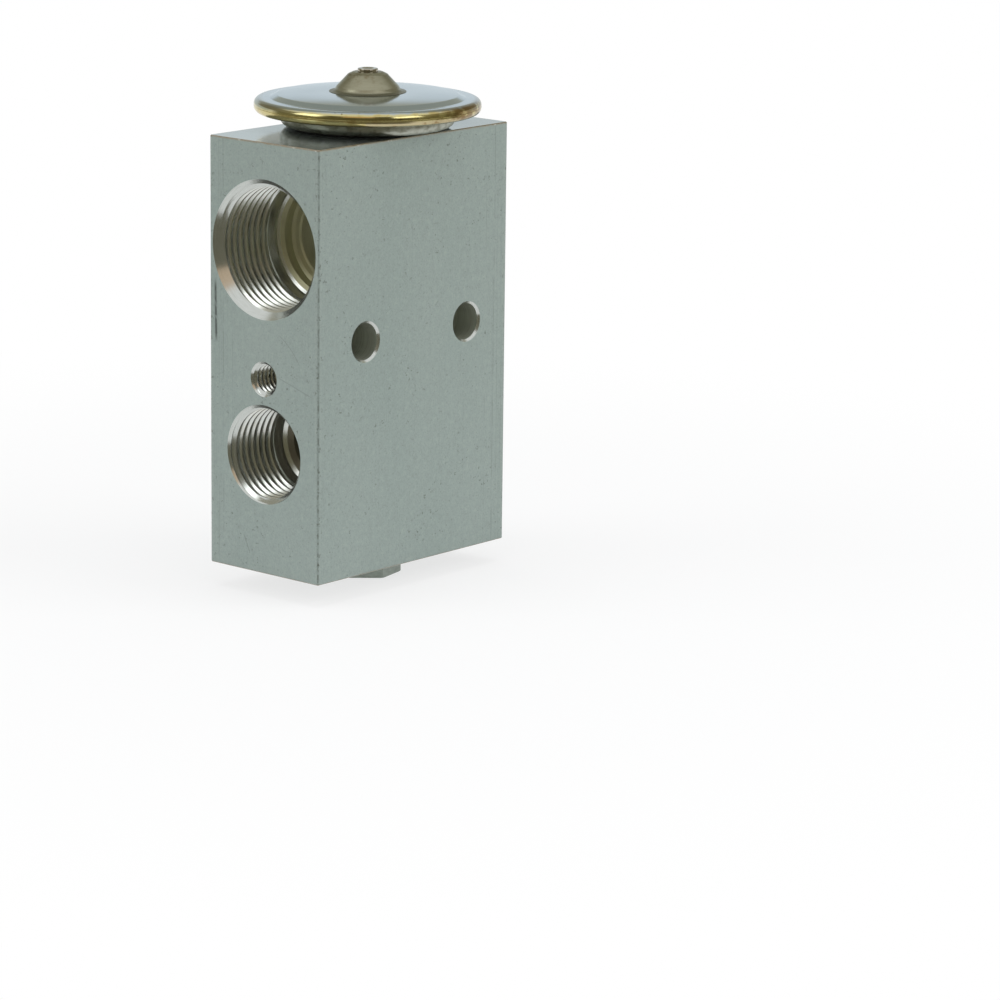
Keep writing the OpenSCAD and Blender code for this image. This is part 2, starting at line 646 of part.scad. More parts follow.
// Hexagon with a turned chamfer, a grooved neck for the seal and a threaded cup for the spring
module adjusting_nut() {
    hex_r = nut_af / 2 / cos(30);
    face_r = nut_af / 2 + 0.7;
    clear_r = hex_r + 0.5;
    full_h = (clear_r - face_r) * tan(30);
    groove_z = nut_seal_z - nut_groove_w / 2;
    root_z = hex_top_z - 0.5;
    color([0.70, 0.72, 0.70]) in_block() {
        intersection() {
            translate([0, 0, -nut_proud]) rotate([0, 0, nut_turn])
                cylinder(r = hex_r, h = nut_proud + hex_top_z, $fn = 6);
            rotate_extrude() polygon([
                [0, -nut_proud], [face_r, -nut_proud], [clear_r, full_h - nut_proud],
                [clear_r, hex_top_z + over], [0, hex_top_z + over]]);
        }
        rotate_extrude() polygon([
            [0, root_z], [nut_neck_r, root_z], [nut_neck_r, groove_z], [nut_groove_r, groove_z],
            [nut_groove_r, groove_z + nut_groove_w], [nut_neck_r, groove_z + nut_groove_w],
            [nut_neck_r, nut_neck_top_z], [nut_minor_r - run_gap, nut_neck_top_z],
            [nut_minor_r - run_gap, nut_top_z], [nut_pocket_r, nut_top_z],
            [nut_pocket_r, nut_pocket_z], [0, nut_pocket_z]]);
    }
}

valve_block();
element_cover();
charge_dome();
fill_plug();
element_base();
element_gasket();
diaphragm();
diaphragm_stopper();
sensing_rod();
rod_seal();
rod_seal_retainer();
push_pin();
orifice_seat();
valve_ball();
ball_carrier();
carrier_clip();
coil_spring();
spring_seat();
adjuster_seal();
adjusting_nut();
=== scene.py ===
"""The look of the block expansion valve: tapped ports, pressed steel element, turned nut."""
import math

import bmesh
import bpy
from mathutils import Matrix, Vector


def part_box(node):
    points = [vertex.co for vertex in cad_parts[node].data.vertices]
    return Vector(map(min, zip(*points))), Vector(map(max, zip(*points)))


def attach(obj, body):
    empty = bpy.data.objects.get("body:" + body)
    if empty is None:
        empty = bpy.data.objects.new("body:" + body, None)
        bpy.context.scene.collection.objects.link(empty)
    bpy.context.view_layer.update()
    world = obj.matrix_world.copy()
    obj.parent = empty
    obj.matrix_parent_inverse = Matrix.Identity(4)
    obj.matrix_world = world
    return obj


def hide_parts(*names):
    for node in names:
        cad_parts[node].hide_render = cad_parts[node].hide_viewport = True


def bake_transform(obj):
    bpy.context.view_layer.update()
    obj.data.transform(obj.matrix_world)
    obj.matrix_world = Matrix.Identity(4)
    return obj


MM = 0.001

# The block, in millimetres. Heights inside it count from its underside.
BLOCK_FOOT = 4.4
BLOCK_T, BLOCK_W, BLOCK_H = 27.0, 50.8, 79.0
BLOCK_CORNER = 0.4
BLOCK_EDGE = 0.15
MECH_Y = 1.9
BLOCK_TOP = BLOCK_FOOT + BLOCK_H
FRONT, REAR = -BLOCK_W / 2, BLOCK_W / 2
OVER = 1.0

# Ports: nominal size, mouth, depth of the tapped bore, tube pilot and its depth, height
SUCTION = {"nominal": 24, "mouth": 25.5, "bore": 15.1, "pilot": 19.8, "pilot_depth": 18, "z": 59.6}
INLET = {"nominal": 18, "mouth": 18.3, "bore": 13.6, "pilot": 12.8, "pilot_depth": 16.8, "z": 22.1}
OUTLET = {"nominal": 20, "mouth": 21.3, "bore": 13.9, "pilot": 15.2, "pilot_depth": 16.8, "z": 28.5}
PORT_PITCH = 1.5
FOOT_ANGLE = math.radians(60)
PILOT_STEP, PILOT_LIP = 0.6, 0.3
PASSAGE_R = 8.0
INLET_HOLE_R, INLET_HOLE_Z = 2.5, 19.8
OUTLET_INNER_R, OUTLET_HOLE_R = 6.3, 3.0
CHAMBER_R = 4.39875
CLAMP = {"nominal": 6, "mouth": 6.5, "depth": 12, "z": 36, "pitch": 1.0}
MOUNT_R, MOUNT_MOUTH_R = 3.4, 3.8
MOUNT_SPACING, MOUNT_MID_Y, MOUNT_Z = 27.4, 0.7, 43.0
# Bores on the mechanism's axis, from the hexagon's pocket up to the element's neck: foot, top, radius
MECH_BORES = ((-OVER, 2.4, 7.002), (2.4, 6.8, 5.45), (6.8, 13.2, 4.45875), (13.2, 23, CHAMBER_R),
              (23, 25.3, 4), (25.3, 28.5, 2.5), (28.5, 39, 1.25), (39, 46.5, 3.55), (46.5, 59.6, 5.3),
              (59.6, 72, 5.5), (72, BLOCK_H + OVER, 9.55))
# How far the ports' chamfers reach in, and how far past the tapped bore the passage's own finish starts
MOUTH_REACH, PASSAGE_START = 1.55, 0.33
# The block's finishes, by their place in its list
SKIN, END, BORE, HOLE, MOUTH, PASSAGE = range(6)

# The power element. Heights count from the top of the block.
RIM_R = 20.75
RAMP_IN_R = 16.6
COVER_T = 0.9
CLAMP_H = 4.1
RIM_TOP_H = 5.45
RIM_FOOT_H = 2.75
RAMP_H = 6.1
DOME_SEAT_H = 6.55
DOME_H = 3.65
SEAM = 0.05
CROWN_IN_R = 7.5
# Direction across the rim, from the weld's bare end to its heat-stained end
WELD_X, WELD_Y = 0.73, 0.68

# The superheat spring. Each of its two stretches has SPRING_POINTS along it.
SPRING_R, SPRING_WIRE, SPRING_TURNS = 3.1, 1.1, 6
CLOSED_TURN = 1.02
SPRING_POINTS, WIRE_SIDES = 97, 12

# Rows of points up one turn of a thread
THREAD_ROWS = 12


def minor_r(nominal, pitch):
    """Radius of the bore that a metric thread is cut in."""
    return (nominal - 1.0825 * pitch) / 2


# Making meshes

def finish_mesh(bm, name, smooth_angle=32):
    """Turns a bmesh into an object whose edges are sharp above the angle."""
    bmesh.ops.recalc_face_normals(bm, faces=bm.faces[:])
    mesh = bpy.data.meshes.new(name)
    bm.to_mesh(mesh)
    bm.free()
    mesh.shade_smooth()
    mesh.set_sharp_from_angle(angle=math.radians(smooth_angle))
    piece = bpy.data.objects.new(name, mesh)
    bpy.context.scene.collection.objects.link(piece)
    return piece


def face_outward(mesh):
    """Turns every face of a closed mesh outwards."""
    bm = bmesh.new()
    bm.from_mesh(mesh)
    bmesh.ops.recalc_face_normals(bm, faces=bm.faces[:])
    if bm.calc_volume(signed=True) < 0:
        bmesh.ops.reverse_faces(bm, faces=bm.faces[:])
    bm.to_mesh(mesh)
    bm.free()


def corner_arc(before, corner, after, radius, steps=6):
    """Points that round one corner of an outline."""
    a = (Vector(before) - Vector(corner)).normalized()
    b = (Vector(after) - Vector(corner)).normalized()
    half = a.angle(b) / 2
    if half > math.radians(89):
        return [tuple(corner)]
    cut = radius / math.tan(half)
    centre = Vector(corner) + (a + b).normalized() * (radius / math.sin(half))
    start = Vector(corner) + a * cut - centre
    sweep = math.pi - 2 * half
    side = 1 if a.x * b.y - a.y * b.x < 0 else -1
    points = []
    for i in range(steps + 1):
        turn = Matrix.Rotation(side * sweep * i / steps, 2)
        points.append(tuple(centre + turn @ start))
    return points


def rounded(outline):
    """An outline of (radius, height) or (radius, height, fillet) with its fillets drawn."""
    points = []
    count = len(outline)
    for i, spot in enumerate(outline):
        if len(spot) < 3:
            points.append(tuple(spot))
            continue
        before, after = outline[i - 1][:2], outline[(i + 1) % count][:2]
        points += corner_arc(before, spot[:2], after, spot[2])
    return points


def turned(name, outline, place, along="Z", segments=192, smooth_angle=32):
    """A closed outline turned round an axis. place is where its height 0 lies, in millimetres."""
    bm = bmesh.new()
    rings = []
    for r, h in rounded(outline):
        if r < 1e-4:
            rings.append([bm.verts.new((0, 0, h))])
            continue
        ring = []
        for i in range(segments):
            a = 2 * math.pi * i / segments
            ring.append(bm.verts.new((r * math.cos(a), r * math.sin(a), h)))
        rings.append(ring)
    for low, high in zip(rings, rings[1:] + rings[:1]):
        if len(low) == 1 and len(high) == 1:
            continue
        for i in range(segments):
            k = (i + 1) % segments
            if len(low) == 1:
                bm.faces.new((low[0], high[k], high[i]))
            elif len(high) == 1:
                bm.faces.new((low[i], low[k], high[0]))
            else:
                bm.faces.new((low[i], low[k], high[k], high[i]))
    facing = {"Z": Matrix.Identity(4), "Y": Matrix.Rotation(math.radians(-90), 4, "X"),
              "-Y": Matrix.Rotation(math.radians(90), 4, "X"), "X": Matrix.Rotation(math.radians(90), 4, "Y")}
    bm.transform(Matrix.Scale(MM, 4) @ Matrix.Translation(place) @ facing[along])
    return finish_mesh(bm, name, smooth_angle)


def bake(piece):
    """The piece with its modifiers worked out into a plain mesh."""
    depsgraph = bpy.context.evaluated_depsgraph_get()
    mesh = bpy.data.meshes.new_from_object(piece.evaluated_get(depsgraph), depsgraph=depsgraph)
    piece.modifiers.clear()
    piece.data = mesh
    return piece


# Node trees

def node(tree, kind, links=None, **settings):
    """Adds a node, sets its settings and plugs values or outputs into its inputs."""
    made = tree.nodes.new(kind)
    for key, value in settings.items():
        setattr(made, key, value)
    for key, value in (links or {}).items():
        if isinstance(value, bpy.types.NodeSocket):
            tree.links.new(value, made.inputs[key])
        else:
            made.inputs[key].default_value = value
    return made


def sums(tree, kind="ShaderNodeMath"):
    """A short way to write arithmetic between sockets."""
    def work(operation, *values, clamp=False):
        made = tree.nodes.new(kind)
        made.operation = operation
        made.use_clamp = clamp
        for i, value in enumerate(values):
            if isinstance(value, bpy.types.NodeSocket):
                tree.links.new(value, made.inputs[i])
            else:
                made.inputs[i].default_value = value
        return made.outputs[0]
    return work


def start_tree(name, lengths, counts=()):
    """A shape tree with its named inputs: the tree, the inputs' identifiers and sockets, and arithmetic."""
    tree = bpy.data.node_groups.new(name, "GeometryNodeTree")
    face = tree.interface
    face.new_socket("Geometry", in_out="OUTPUT", socket_type="NodeSocketGeometry")
    inputs = {}
    for labels, kind in ((lengths, "NodeSocketFloat"), (counts, "NodeSocketInt")):
        for label in labels:
            inputs[label] = face.new_socket(label, in_out="INPUT", socket_type=kind).identifier
    return tree, inputs, tree.nodes.new("NodeGroupInput").outputs, sums(tree)


def end_tree(tree, shape, material):
    """Ends a shape tree with plain geometry in its material."""
    plain = node(tree, "GeometryNodeRealizeInstances", {"Geometry": shape.outputs[0]})
    dressed = node(tree, "GeometryNodeSetMaterial", {"Geometry": plain.outputs[0], "Material": material})
    node(tree, "NodeGroupOutput", {0: dressed.outputs[0]})


def grown(name, tools, sizes):
    """A piece that a shape tree makes from its sizes, worked out into a plain mesh."""
    tree, inputs = tools
    piece = bpy.data.objects.new(name, bpy.data.meshes.new(name))
    bpy.context.scene.collection.objects.link(piece)
    shape = piece.modifiers.new("shape", "NODES")
    shape.node_group = tree
    for label, value in sizes.items():
        shape[inputs[label]] = value
    return bake(piece)


# Threads, by Geometry Nodes

def thread_tree(material):
    """Tree for the plug that cuts one tapped thread: a tube whose skin follows the helix.
    Columns go round the bore. Rows climb one pitch a turn, so each follows a crest or a root."""
    lengths = ("Crest Radius", "Root Radius", "Pitch", "Start", "End", "Run Out")
    tree, inputs, given, work = start_tree("tapped thread", lengths, ("Columns", "Rows"))
    across = work("ADD", given["Columns"], 1)
    up = work("ADD", given["Rows"], 3)
    grid = node(tree, "GeometryNodeMeshGrid",
                {"Size X": 1.0, "Size Y": 1.0, "Vertices X": across, "Vertices Y": up})
    spot = node(tree, "ShaderNodeSeparateXYZ", {0: node(tree, "GeometryNodeInputPosition").outputs[0]})
    turn = work("ADD", spot.outputs["X"], 0.5)
    row = work("MULTIPLY", work("ADD", spot.outputs["Y"], 0.5), work("ADD", given["Rows"], 2))
    climb = work("SUBTRACT", work("DIVIDE", work("SUBTRACT", row, 1), THREAD_ROWS), 1)
    depth = work("MULTIPLY_ADD", work("ADD", climb, turn), given["Pitch"], given["Start"])
    depth = work("MINIMUM", work("MAXIMUM", depth, given["Start"]), given["End"])
    # How far a point is from the middle of the nearest crest, as a share of the pitch
    phase = work("SUBTRACT", work("DIVIDE", work("SUBTRACT", depth, given["Start"]), given["Pitch"]), turn)
    phase = work("FLOORED_MODULO", work("ADD", phase, 0.5 - 0.5 / THREAD_ROWS), 1)
    off_crest = work("ABSOLUTE", work("SUBTRACT", phase, 0.5))
    groove = work("DIVIDE", work("SUBTRACT", off_crest, 0.125), 0.333, clamp=True)
    fade = work("DIVIDE", work("SUBTRACT", given["End"], depth), given["Run Out"], clamp=True)
    groove = work("MULTIPLY", groove, fade)
    radius = work("MULTIPLY_ADD", work("SUBTRACT", given["Root Radius"], given["Crest Radius"]), groove,
                  given["Crest Radius"])
    open_row = work("MULTIPLY", work("GREATER_THAN", row, 0.5),
                    work("LESS_THAN", row, work("ADD", given["Rows"], 1.5)))
    radius = work("MULTIPLY", radius, open_row)
    angle = work("MULTIPLY", turn, -2 * math.pi)
    place = node(tree, "ShaderNodeCombineXYZ", {
        "X": work("MULTIPLY", radius, work("COSINE", angle)), "Y": depth,
        "Z": work("MULTIPLY", radius, work("SINE", angle))})
    shaped = node(tree, "GeometryNodeSetPosition",
                  {"Geometry": grid.outputs[0], "Position": place.outputs[0]})
    merged = node(tree, "GeometryNodeMergeByDistance", {"Geometry": shaped.outputs[0], "Distance": 1e-6})
    end_tree(tree, merged, material)
    return tree, inputs


def thread_plug(tools, name, nominal, pitch, start, end, place, rear=False, columns=128):
    """The solid that cuts one thread, from depth start to end, with its axis along Y."""
    piece = grown(name, tools, {
        "Crest Radius": (minor_r(nominal, pitch) + 0.02) * MM, "Root Radius": nominal / 2 * MM,
        "Pitch": pitch * MM, "Start": start * MM, "End": end * MM, "Run Out": 0.8 * pitch * MM,
        "Columns": columns, "Rows": math.ceil(THREAD_ROWS * ((end - start) / pitch + 1))})
    bm = bmesh.new()
    bm.from_mesh(piece.data)
    bmesh.ops.triangulate(bm, faces=bm.faces[:])
    bmesh.ops.dissolve_degenerate(bm, edges=bm.edges[:], dist=1e-9)
    side = Matrix.Rotation(math.pi, 4, "Z") if rear else Matrix.Identity(4)
    bm.transform(Matrix.Translation(Vector(place) * MM) @ side)
    bm.to_mesh(piece.data)
    bm.free()
    face_outward(piece.data)
    return piece


# The block

def block_blank():
    """The extruded bar: rounded upright corners, and a fine edge at its sawn ends."""
    bm = bmesh.new()
    steps = 6
    rings = []
    for z, inset in ((0, BLOCK_EDGE), (BLOCK_EDGE, 0), (BLOCK_H - BLOCK_EDGE, 0), (BLOCK_H, BLOCK_EDGE)):
        ring = []
        r = BLOCK_CORNER
        for quarter, (sx, sy) in enumerate(((1, 1), (-1, 1), (-1, -1), (1, -1))):
            for i in range(steps + 1):
                a = math.radians(90 * (quarter + i / steps))
                x = sx * (BLOCK_T / 2 - r) + (r - inset) * math.cos(a)
                y = sy * (BLOCK_W / 2 - r) + (r - inset) * math.sin(a)
                ring.append(bm.verts.new((x, y, BLOCK_FOOT + z)))
        rings.append(ring)
    for low, high in zip(rings, rings[1:]):
        for i in range(len(low)):
            k = (i + 1) % len(low)
            bm.faces.new((low[i], low[k], high[k], high[i]))
    bm.faces.new(rings[0][::-1])
    bm.faces.new(rings[-1])
    bm.transform(Matrix.Scale(MM, 4))
    return finish_mesh(bm, "block_body")


def port_outline(port, next_r):
    """Half outline of a port as (radius, depth): chamfer, tapped bore with its conical foot, and the
    tube pilot with its own cone, and a fine lip where a bore of radius next_r goes on."""
    bore, mouth, pilot = minor_r(port["nominal"], PORT_PITCH), port["mouth"] / 2, port["pilot"] / 2
    lip = PILOT_LIP if next_r else 0
    step = min(PILOT_STEP, (pilot - next_r - lip) / 2)
    ledge = 0.4 * (bore - pilot)
    outline = [(0, -OVER), (mouth, -OVER), (mouth, 0), (bore, mouth - bore), (bore, port["bore"]),
               (bore - ledge, port["bore"] + ledge / math.tan(FOOT_ANGLE)),
               (pilot, port["bore"] + (bore - pilot) / math.tan(FOOT_ANGLE)),
               (pilot, port["pilot_depth"] - step / math.tan(FOOT_ANGLE)),
               (pilot - step, port["pilot_depth"])]
    if next_r:
        outline += [(next_r + lip, port["pilot_depth"]), (next_r, port["pilot_depth"] + lip)]
    return outline


def block_cutters(tools):
    """Everything that is drilled, bored and tapped out of the bar."""
    cuts = []
    z0 = BLOCK_FOOT
    half = port_outline(SUCTION, PASSAGE_R)
    outline = half + [(r, BLOCK_W - d) for r, d in reversed(half)]
    cuts.append(turned("cut suction", outline, (0, FRONT, z0 + SUCTION["z"]), "Y", 256))
    outline = port_outline(INLET, 0) + [(0, INLET["pilot_depth"])]
    cuts.append(turned("cut inlet", outline, (0, FRONT, z0 + INLET["z"]), "Y", 224))
    foot = MECH_Y - FRONT - INLET["bore"]
    hole = [(0, 0), (INLET_HOLE_R, 0), (INLET_HOLE_R, foot), (0, foot)]
    cuts.append(turned("cut inlet hole", hole, (0, FRONT + INLET["bore"], z0 + INLET_HOLE_Z), "Y", 96))
    inner_foot = REAR - (MECH_Y + CHAMBER_R + 1.1)
    hole_foot = REAR - (MECH_Y - OUTLET_HOLE_R)
    outline = port_outline(OUTLET, OUTLET_INNER_R)
    outline += [(OUTLET_INNER_R, inner_foot), (OUTLET_HOLE_R, inner_foot), (OUTLET_HOLE_R, hole_foot),
                (0, hole_foot)]
    cuts.append(turned("cut outlet", outline, (0, REAR, z0 + OUTLET["z"]), "-Y", 224))
    bore = minor_r(CLAMP["nominal"], CLAMP["pitch"])
    mouth = CLAMP["mouth"] / 2
    tip = (bore - 0.2) / math.tan(FOOT_ANGLE)
    outline = [(0, -OVER), (mouth, -OVER), (mouth, 0), (bore, mouth - bore), (bore, CLAMP["depth"]),
               (0.2, CLAMP["depth"] + tip), (0, CLAMP["depth"] + tip)]
    cuts.append(turned("cut clamp", outline, (0, FRONT, z0 + CLAMP["z"]), "Y", 96))
    lip = MOUNT_MOUTH_R - MOUNT_R
    outline = [(0, -OVER), (MOUNT_MOUTH_R, -OVER), (MOUNT_MOUTH_R, 0), (MOUNT_R, lip),
               (MOUNT_R, BLOCK_T - lip), (MOUNT_MOUTH_R, BLOCK_T), (MOUNT_MOUTH_R, BLOCK_T + OVER),
               (0, BLOCK_T + OVER)]
    for side in (-1, 1):
        place = (-BLOCK_T / 2, MOUNT_MID_Y + side * MOUNT_SPACING / 2, z0 + MOUNT_Z)
        cuts.append(turned("cut mounting hole", outline, place, "X", 128))
    outline = [(0, -OVER)]
    for low, high, r in MECH_BORES:
        outline += [(r, low), (r, high)]
    outline.append((0, BLOCK_H + OVER))
    cuts.append(turned("cut mechanism", outline, (0, MECH_Y, z0), "Z", 128))
    for port, rear in ((SUCTION, False), (SUCTION, True), (INLET, False), (OUTLET, True)):
        place = (0, REAR if rear else FRONT, z0 + port["z"])
        end = port["bore"] - 2.4
        cuts.append(thread_plug(tools, "cut thread", port["nominal"], PORT_PITCH, -0.9, end, place, rear))
    cuts.append(thread_plug(tools, "cut clamp thread", CLAMP["nominal"], CLAMP["pitch"], -0.6,
                            CLAMP["depth"] - 1.5, (0, FRONT, z0 + CLAMP["z"]), False, 64))
    return cuts


def is_behind_thread(y, z):
    """Whether a spot in the bores lies behind its port's tapped length. y and z are in millimetres."""
    port = SUCTION if z > BLOCK_FOOT + MOUNT_Z else OUTLET if y > 0 else INLET
    return BLOCK_W / 2 - abs(y) > port["bore"] + PASSAGE_START


def make_block(tools, finishes):
    """The bar with its cuts. Skin, ends, bores, holes, mouths and passages get their own finish."""
    piece = block_blank()
    cutters = block_cutters(tools)
    for cutter in cutters:
        cut = piece.modifiers.new("cut", "BOOLEAN")
        cut.operation = "DIFFERENCE"
        cut.solver = "MANIFOLD"
        cut.object = cutter
    bake(piece)
    for cutter in cutters:
        bpy.data.objects.remove(cutter)
    mesh = piece.data
    mesh.materials.clear()
    for finish in finishes:
        mesh.materials.append(finish)
    near = 0.02 * MM
    for face in mesh.polygons:
        x, y, z = face.center
        on_side = abs(abs(x) - BLOCK_T / 2 * MM) < near or abs(abs(y) - BLOCK_W / 2 * MM) < near
        corner = (abs(x) > (BLOCK_T / 2 - BLOCK_CORNER) * MM and abs(y) > (BLOCK_W / 2 - BLOCK_CORNER) * MM)
        low, high = z - BLOCK_FOOT * MM, BLOCK_TOP * MM - z
        off_hole = min(math.hypot(y - (MOUNT_MID_Y + side * MOUNT_SPACING / 2) * MM,
                                  z - (BLOCK_FOOT + MOUNT_Z) * MM) for side in (-1, 1))
        if min(low, high) < (BLOCK_EDGE + 0.01) * MM and (abs(face.normal.z) > 0.3):
            face.material_index = END
        elif on_side or corner:
            face.material_index = SKIN
        elif off_hole < (MOUNT_R + 0.01) * MM:
            face.material_index = HOLE
        elif off_hole < (MOUNT_MOUTH_R + 0.01) * MM:
            face.material_index = MOUTH
        elif abs(y) > (BLOCK_W / 2 - MOUTH_REACH) * MM and abs(face.normal.y) > 0.6:
            face.material_index = MOUTH
        elif is_behind_thread(y / MM, z / MM):
            face.material_index = PASSAGE
        else:
            face.material_index = BORE
    mesh.shade_smooth()
    mesh.set_sharp_from_angle(angle=math.radians(28))
    piece.modifiers.new("normals", "WEIGHTED_NORMAL").keep_sharp = True
    bake(piece)
    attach(piece, "valve_body")
    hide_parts("valve_block")


# The power element

def crown_h(r):
    """Height of the cover's shallow crown, from the land under the dome to the ramp."""
    out = (r - CROWN_IN_R) / (RAMP_IN_R - CROWN_IN_R)
    return RAMP_H + (DOME_SEAT_H - RAMP_H) * (1 - out ** 2)


def make_cover(finish):
    """Pressed cover: crown, ramp down to the flat flange, and the upper half of the welded rim."""
    crown = [CROWN_IN_R + (RAMP_IN_R - CROWN_IN_R) * i / 12 for i in range(12)]
    outline = [(3.2, DOME_SEAT_H)] + [(r, crown_h(r)) for r in crown]
    outline += [(RAMP_IN_R, RAMP_H, 1.2), (17.9, 5.50, 0.6), (18.6, RIM_TOP_H)]
    outline += [(RIM_R, RIM_TOP_H, 1.15), (RIM_R, CLAMP_H + 0.07), (RIM_R - SEAM, CLAMP_H + 0.02)]
    outline += [(RIM_R - SEAM, CLAMP_H), (RIM_R - 0.4, CLAMP_H), (RIM_R - 0.4, CLAMP_H + 0.2)]
    outline += [(17.7, CLAMP_H + 0.2), (16.5, RAMP_H - COVER_T)]
    outline += [(r, crown_h(r) - COVER_T) for r in reversed(crown)]
    outline += [(3.2, DOME_SEAT_H - COVER_T)]
    piece = turned("cover_disc", outline, (0, MECH_Y, BLOCK_TOP), segments=256)
    piece.data.materials.append(finish)
    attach(piece, "valve_body")
    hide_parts("element_cover")


def make_base(finish):
    """Lower cup: lower half of the rim, the drawn wall, the rounded floor and the neck."""
    outline = [(7.0, -6.4), (9.0, -6.4), (9.5, -5.9), (9.5, 0.35), (16.0, 0.35, 1.5), (16.0, 2.3, 0.25),
               (16.5, RIM_FOOT_H, 0.4), (RIM_R, RIM_FOOT_H, 1.15), (RIM_R, CLAMP_H - 0.07),
               (RIM_R - SEAM, CLAMP_H - 0.02), (RIM_R - SEAM, CLAMP_H), (17.5, CLAMP_H), (16.9, 3.75),
               (15.7, 3.35), (15.05, 2.7), (15.05, 1.85), (14.85, 1.45), (14.5, 1.3), (7.0, 1.3)]
    piece = turned("lower_cup", outline, (0, MECH_Y, BLOCK_TOP), segments=256)
    piece.data.materials.append(finish)
    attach(piece, "valve_body")
    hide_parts("element_base")


def make_dome(finish):
    """Bell-shaped cap: thin lip, flared foot, straight cone and rounded shoulder."""
    outline = [(7.05, 0, 0.02), (7.05, 0.06, 0.02), (6.5, 0.12, 0.5), (6.0, 0.3, 0.6), (5.7, 0.95, 0.9),
               (3.6, 3.2, 0.9), (2.75, 3.6, 0.4), (1.97, 3.65), (1.02, 3.65), (1.02, 2.85), (2.6, 2.85),
               (4.45, 0.4), (4.45, 0)]
    piece = turned("charge_cap", outline, (0, MECH_Y, BLOCK_TOP + DOME_SEAT_H), segments=192)
    piece.data.materials.append(finish)
    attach(piece, "valve_body")
    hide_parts("charge_dome")


def make_plug(finish):
    """Head of the charge plug, with a rounded edge and a dimple."""
    outline = [(0, -0.8), (1.0, -0.8), (1.0, 0), (1.87, 0), (1.87, 0.6, 0.22), (1.2, 0.6, 0.08),
               (0.75, 0.42, 0.2), (0, 0.42)]
    piece = turned("charge_plug", outline, (0, MECH_Y, BLOCK_TOP + DOME_SEAT_H + DOME_H), segments=128)
    piece.data.materials.append(finish)
    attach(piece, "valve_body")
    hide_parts("fill_plug")


# The superheat spring, by Geometry Nodes

def spring_tree(material):
    """Tree for a stretch of the coil spring, from one turn to another: a round wire on a helix whose
    first and last turns lie closed."""
    lengths = ("Coil Radius", "Wire", "Length", "From Turn", "To Turn")
    tree, inputs, given, work = start_tree("coil spring", lengths)
    line = node(tree, "GeometryNodeCurvePrimitiveLine")
    beads = node(tree, "GeometryNodeResampleCurve", {"Curve": line.outputs[0], "Count": SPRING_POINTS})
    along = node(tree, "GeometryNodeSplineParameter").outputs["Factor"]
    span = work("SUBTRACT", given["To Turn"], given["From Turn"])
    turn = work("MULTIPLY_ADD", span, along, given["From Turn"])
    closed = work("MULTIPLY", given["Wire"], CLOSED_TURN)
    free = work("SUBTRACT", given["Length"], work("MULTIPLY", given["Wire"], 1 + 2 * CLOSED_TURN))
    pitch = work("DIVIDE", free, SPRING_TURNS - 2)
    height = work("MULTIPLY_ADD", work("MINIMUM", turn, 1), closed, work("MULTIPLY", given["Wire"], 0.5))
    middle = work("MINIMUM", work("MAXIMUM", work("SUBTRACT", turn, 1), 0), SPRING_TURNS - 2)
    height = work("MULTIPLY_ADD", middle, pitch, height)
    last = work("MAXIMUM", work("SUBTRACT", turn, SPRING_TURNS - 1), 0)
    height = work("MULTIPLY_ADD", last, closed, height)
    angle = work("MULTIPLY", turn, 2 * math.pi)
    place = node(tree, "ShaderNodeCombineXYZ", {
        "X": work("MULTIPLY", given["Coil Radius"], work("COSINE", angle)),
        "Y": work("MULTIPLY", given["Coil Radius"], work("SINE", angle)), "Z": height})
    coiled = node(tree, "GeometryNodeSetPosition",
                  {"Geometry": beads.outputs[0], "Position": place.outputs[0]})
    section = node(tree, "GeometryNodeCurvePrimitiveCircle",
                   {"Resolution": WIRE_SIDES, "Radius": work("MULTIPLY", given["Wire"], 0.5)})
    wire = node(tree, "GeometryNodeCurveToMesh",
                {"Curve": coiled.outputs[0], "Profile Curve": section.outputs[0], "Fill Caps": True})
    end_tree(tree, wire, material)
    return tree, inputs


def make_spring(finish):
    """Superheat spring, in two stretches, lower and upper, that meet at mid-height."""
    foot, head = (corner[2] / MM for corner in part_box("coil_spring"))
    middle, half_turns = (foot + head) / 2, SPRING_TURNS / 2
    tools = spring_tree(finish)
    for name, first, body, tip in (("spring_lower_coils", 0, "adjuster_slide", foot + SPRING_WIRE),
                                   ("spring_upper_coils", half_turns, "valve_stem", head - SPRING_WIRE)):
        piece = grown(name, tools, {
            "Coil Radius": SPRING_R * MM, "Wire": SPRING_WIRE * MM, "Length": (head - foot) * MM,
            "From Turn": float(first), "To Turn": first + half_turns})
        piece.data.transform(Matrix.Translation(Vector((0, MECH_Y, foot)) * MM))
        face_outward(piece.data)
        piece.data.shade_smooth()
        piece.data.set_sharp_from_angle(angle=math.radians(50))
        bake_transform(piece)
        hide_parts("coil_spring")


# Finishes

def colour(red, green, blue):
    """Linear colour of a screen colour from 0 to 255."""
    def plain(v):
        v = v / 255
        return v / 12.92 if v <= 0.04045 else ((v + 0.055) / 1.055) ** 2.4
    return (plain(red), plain(green), plain(blue), 1.0)


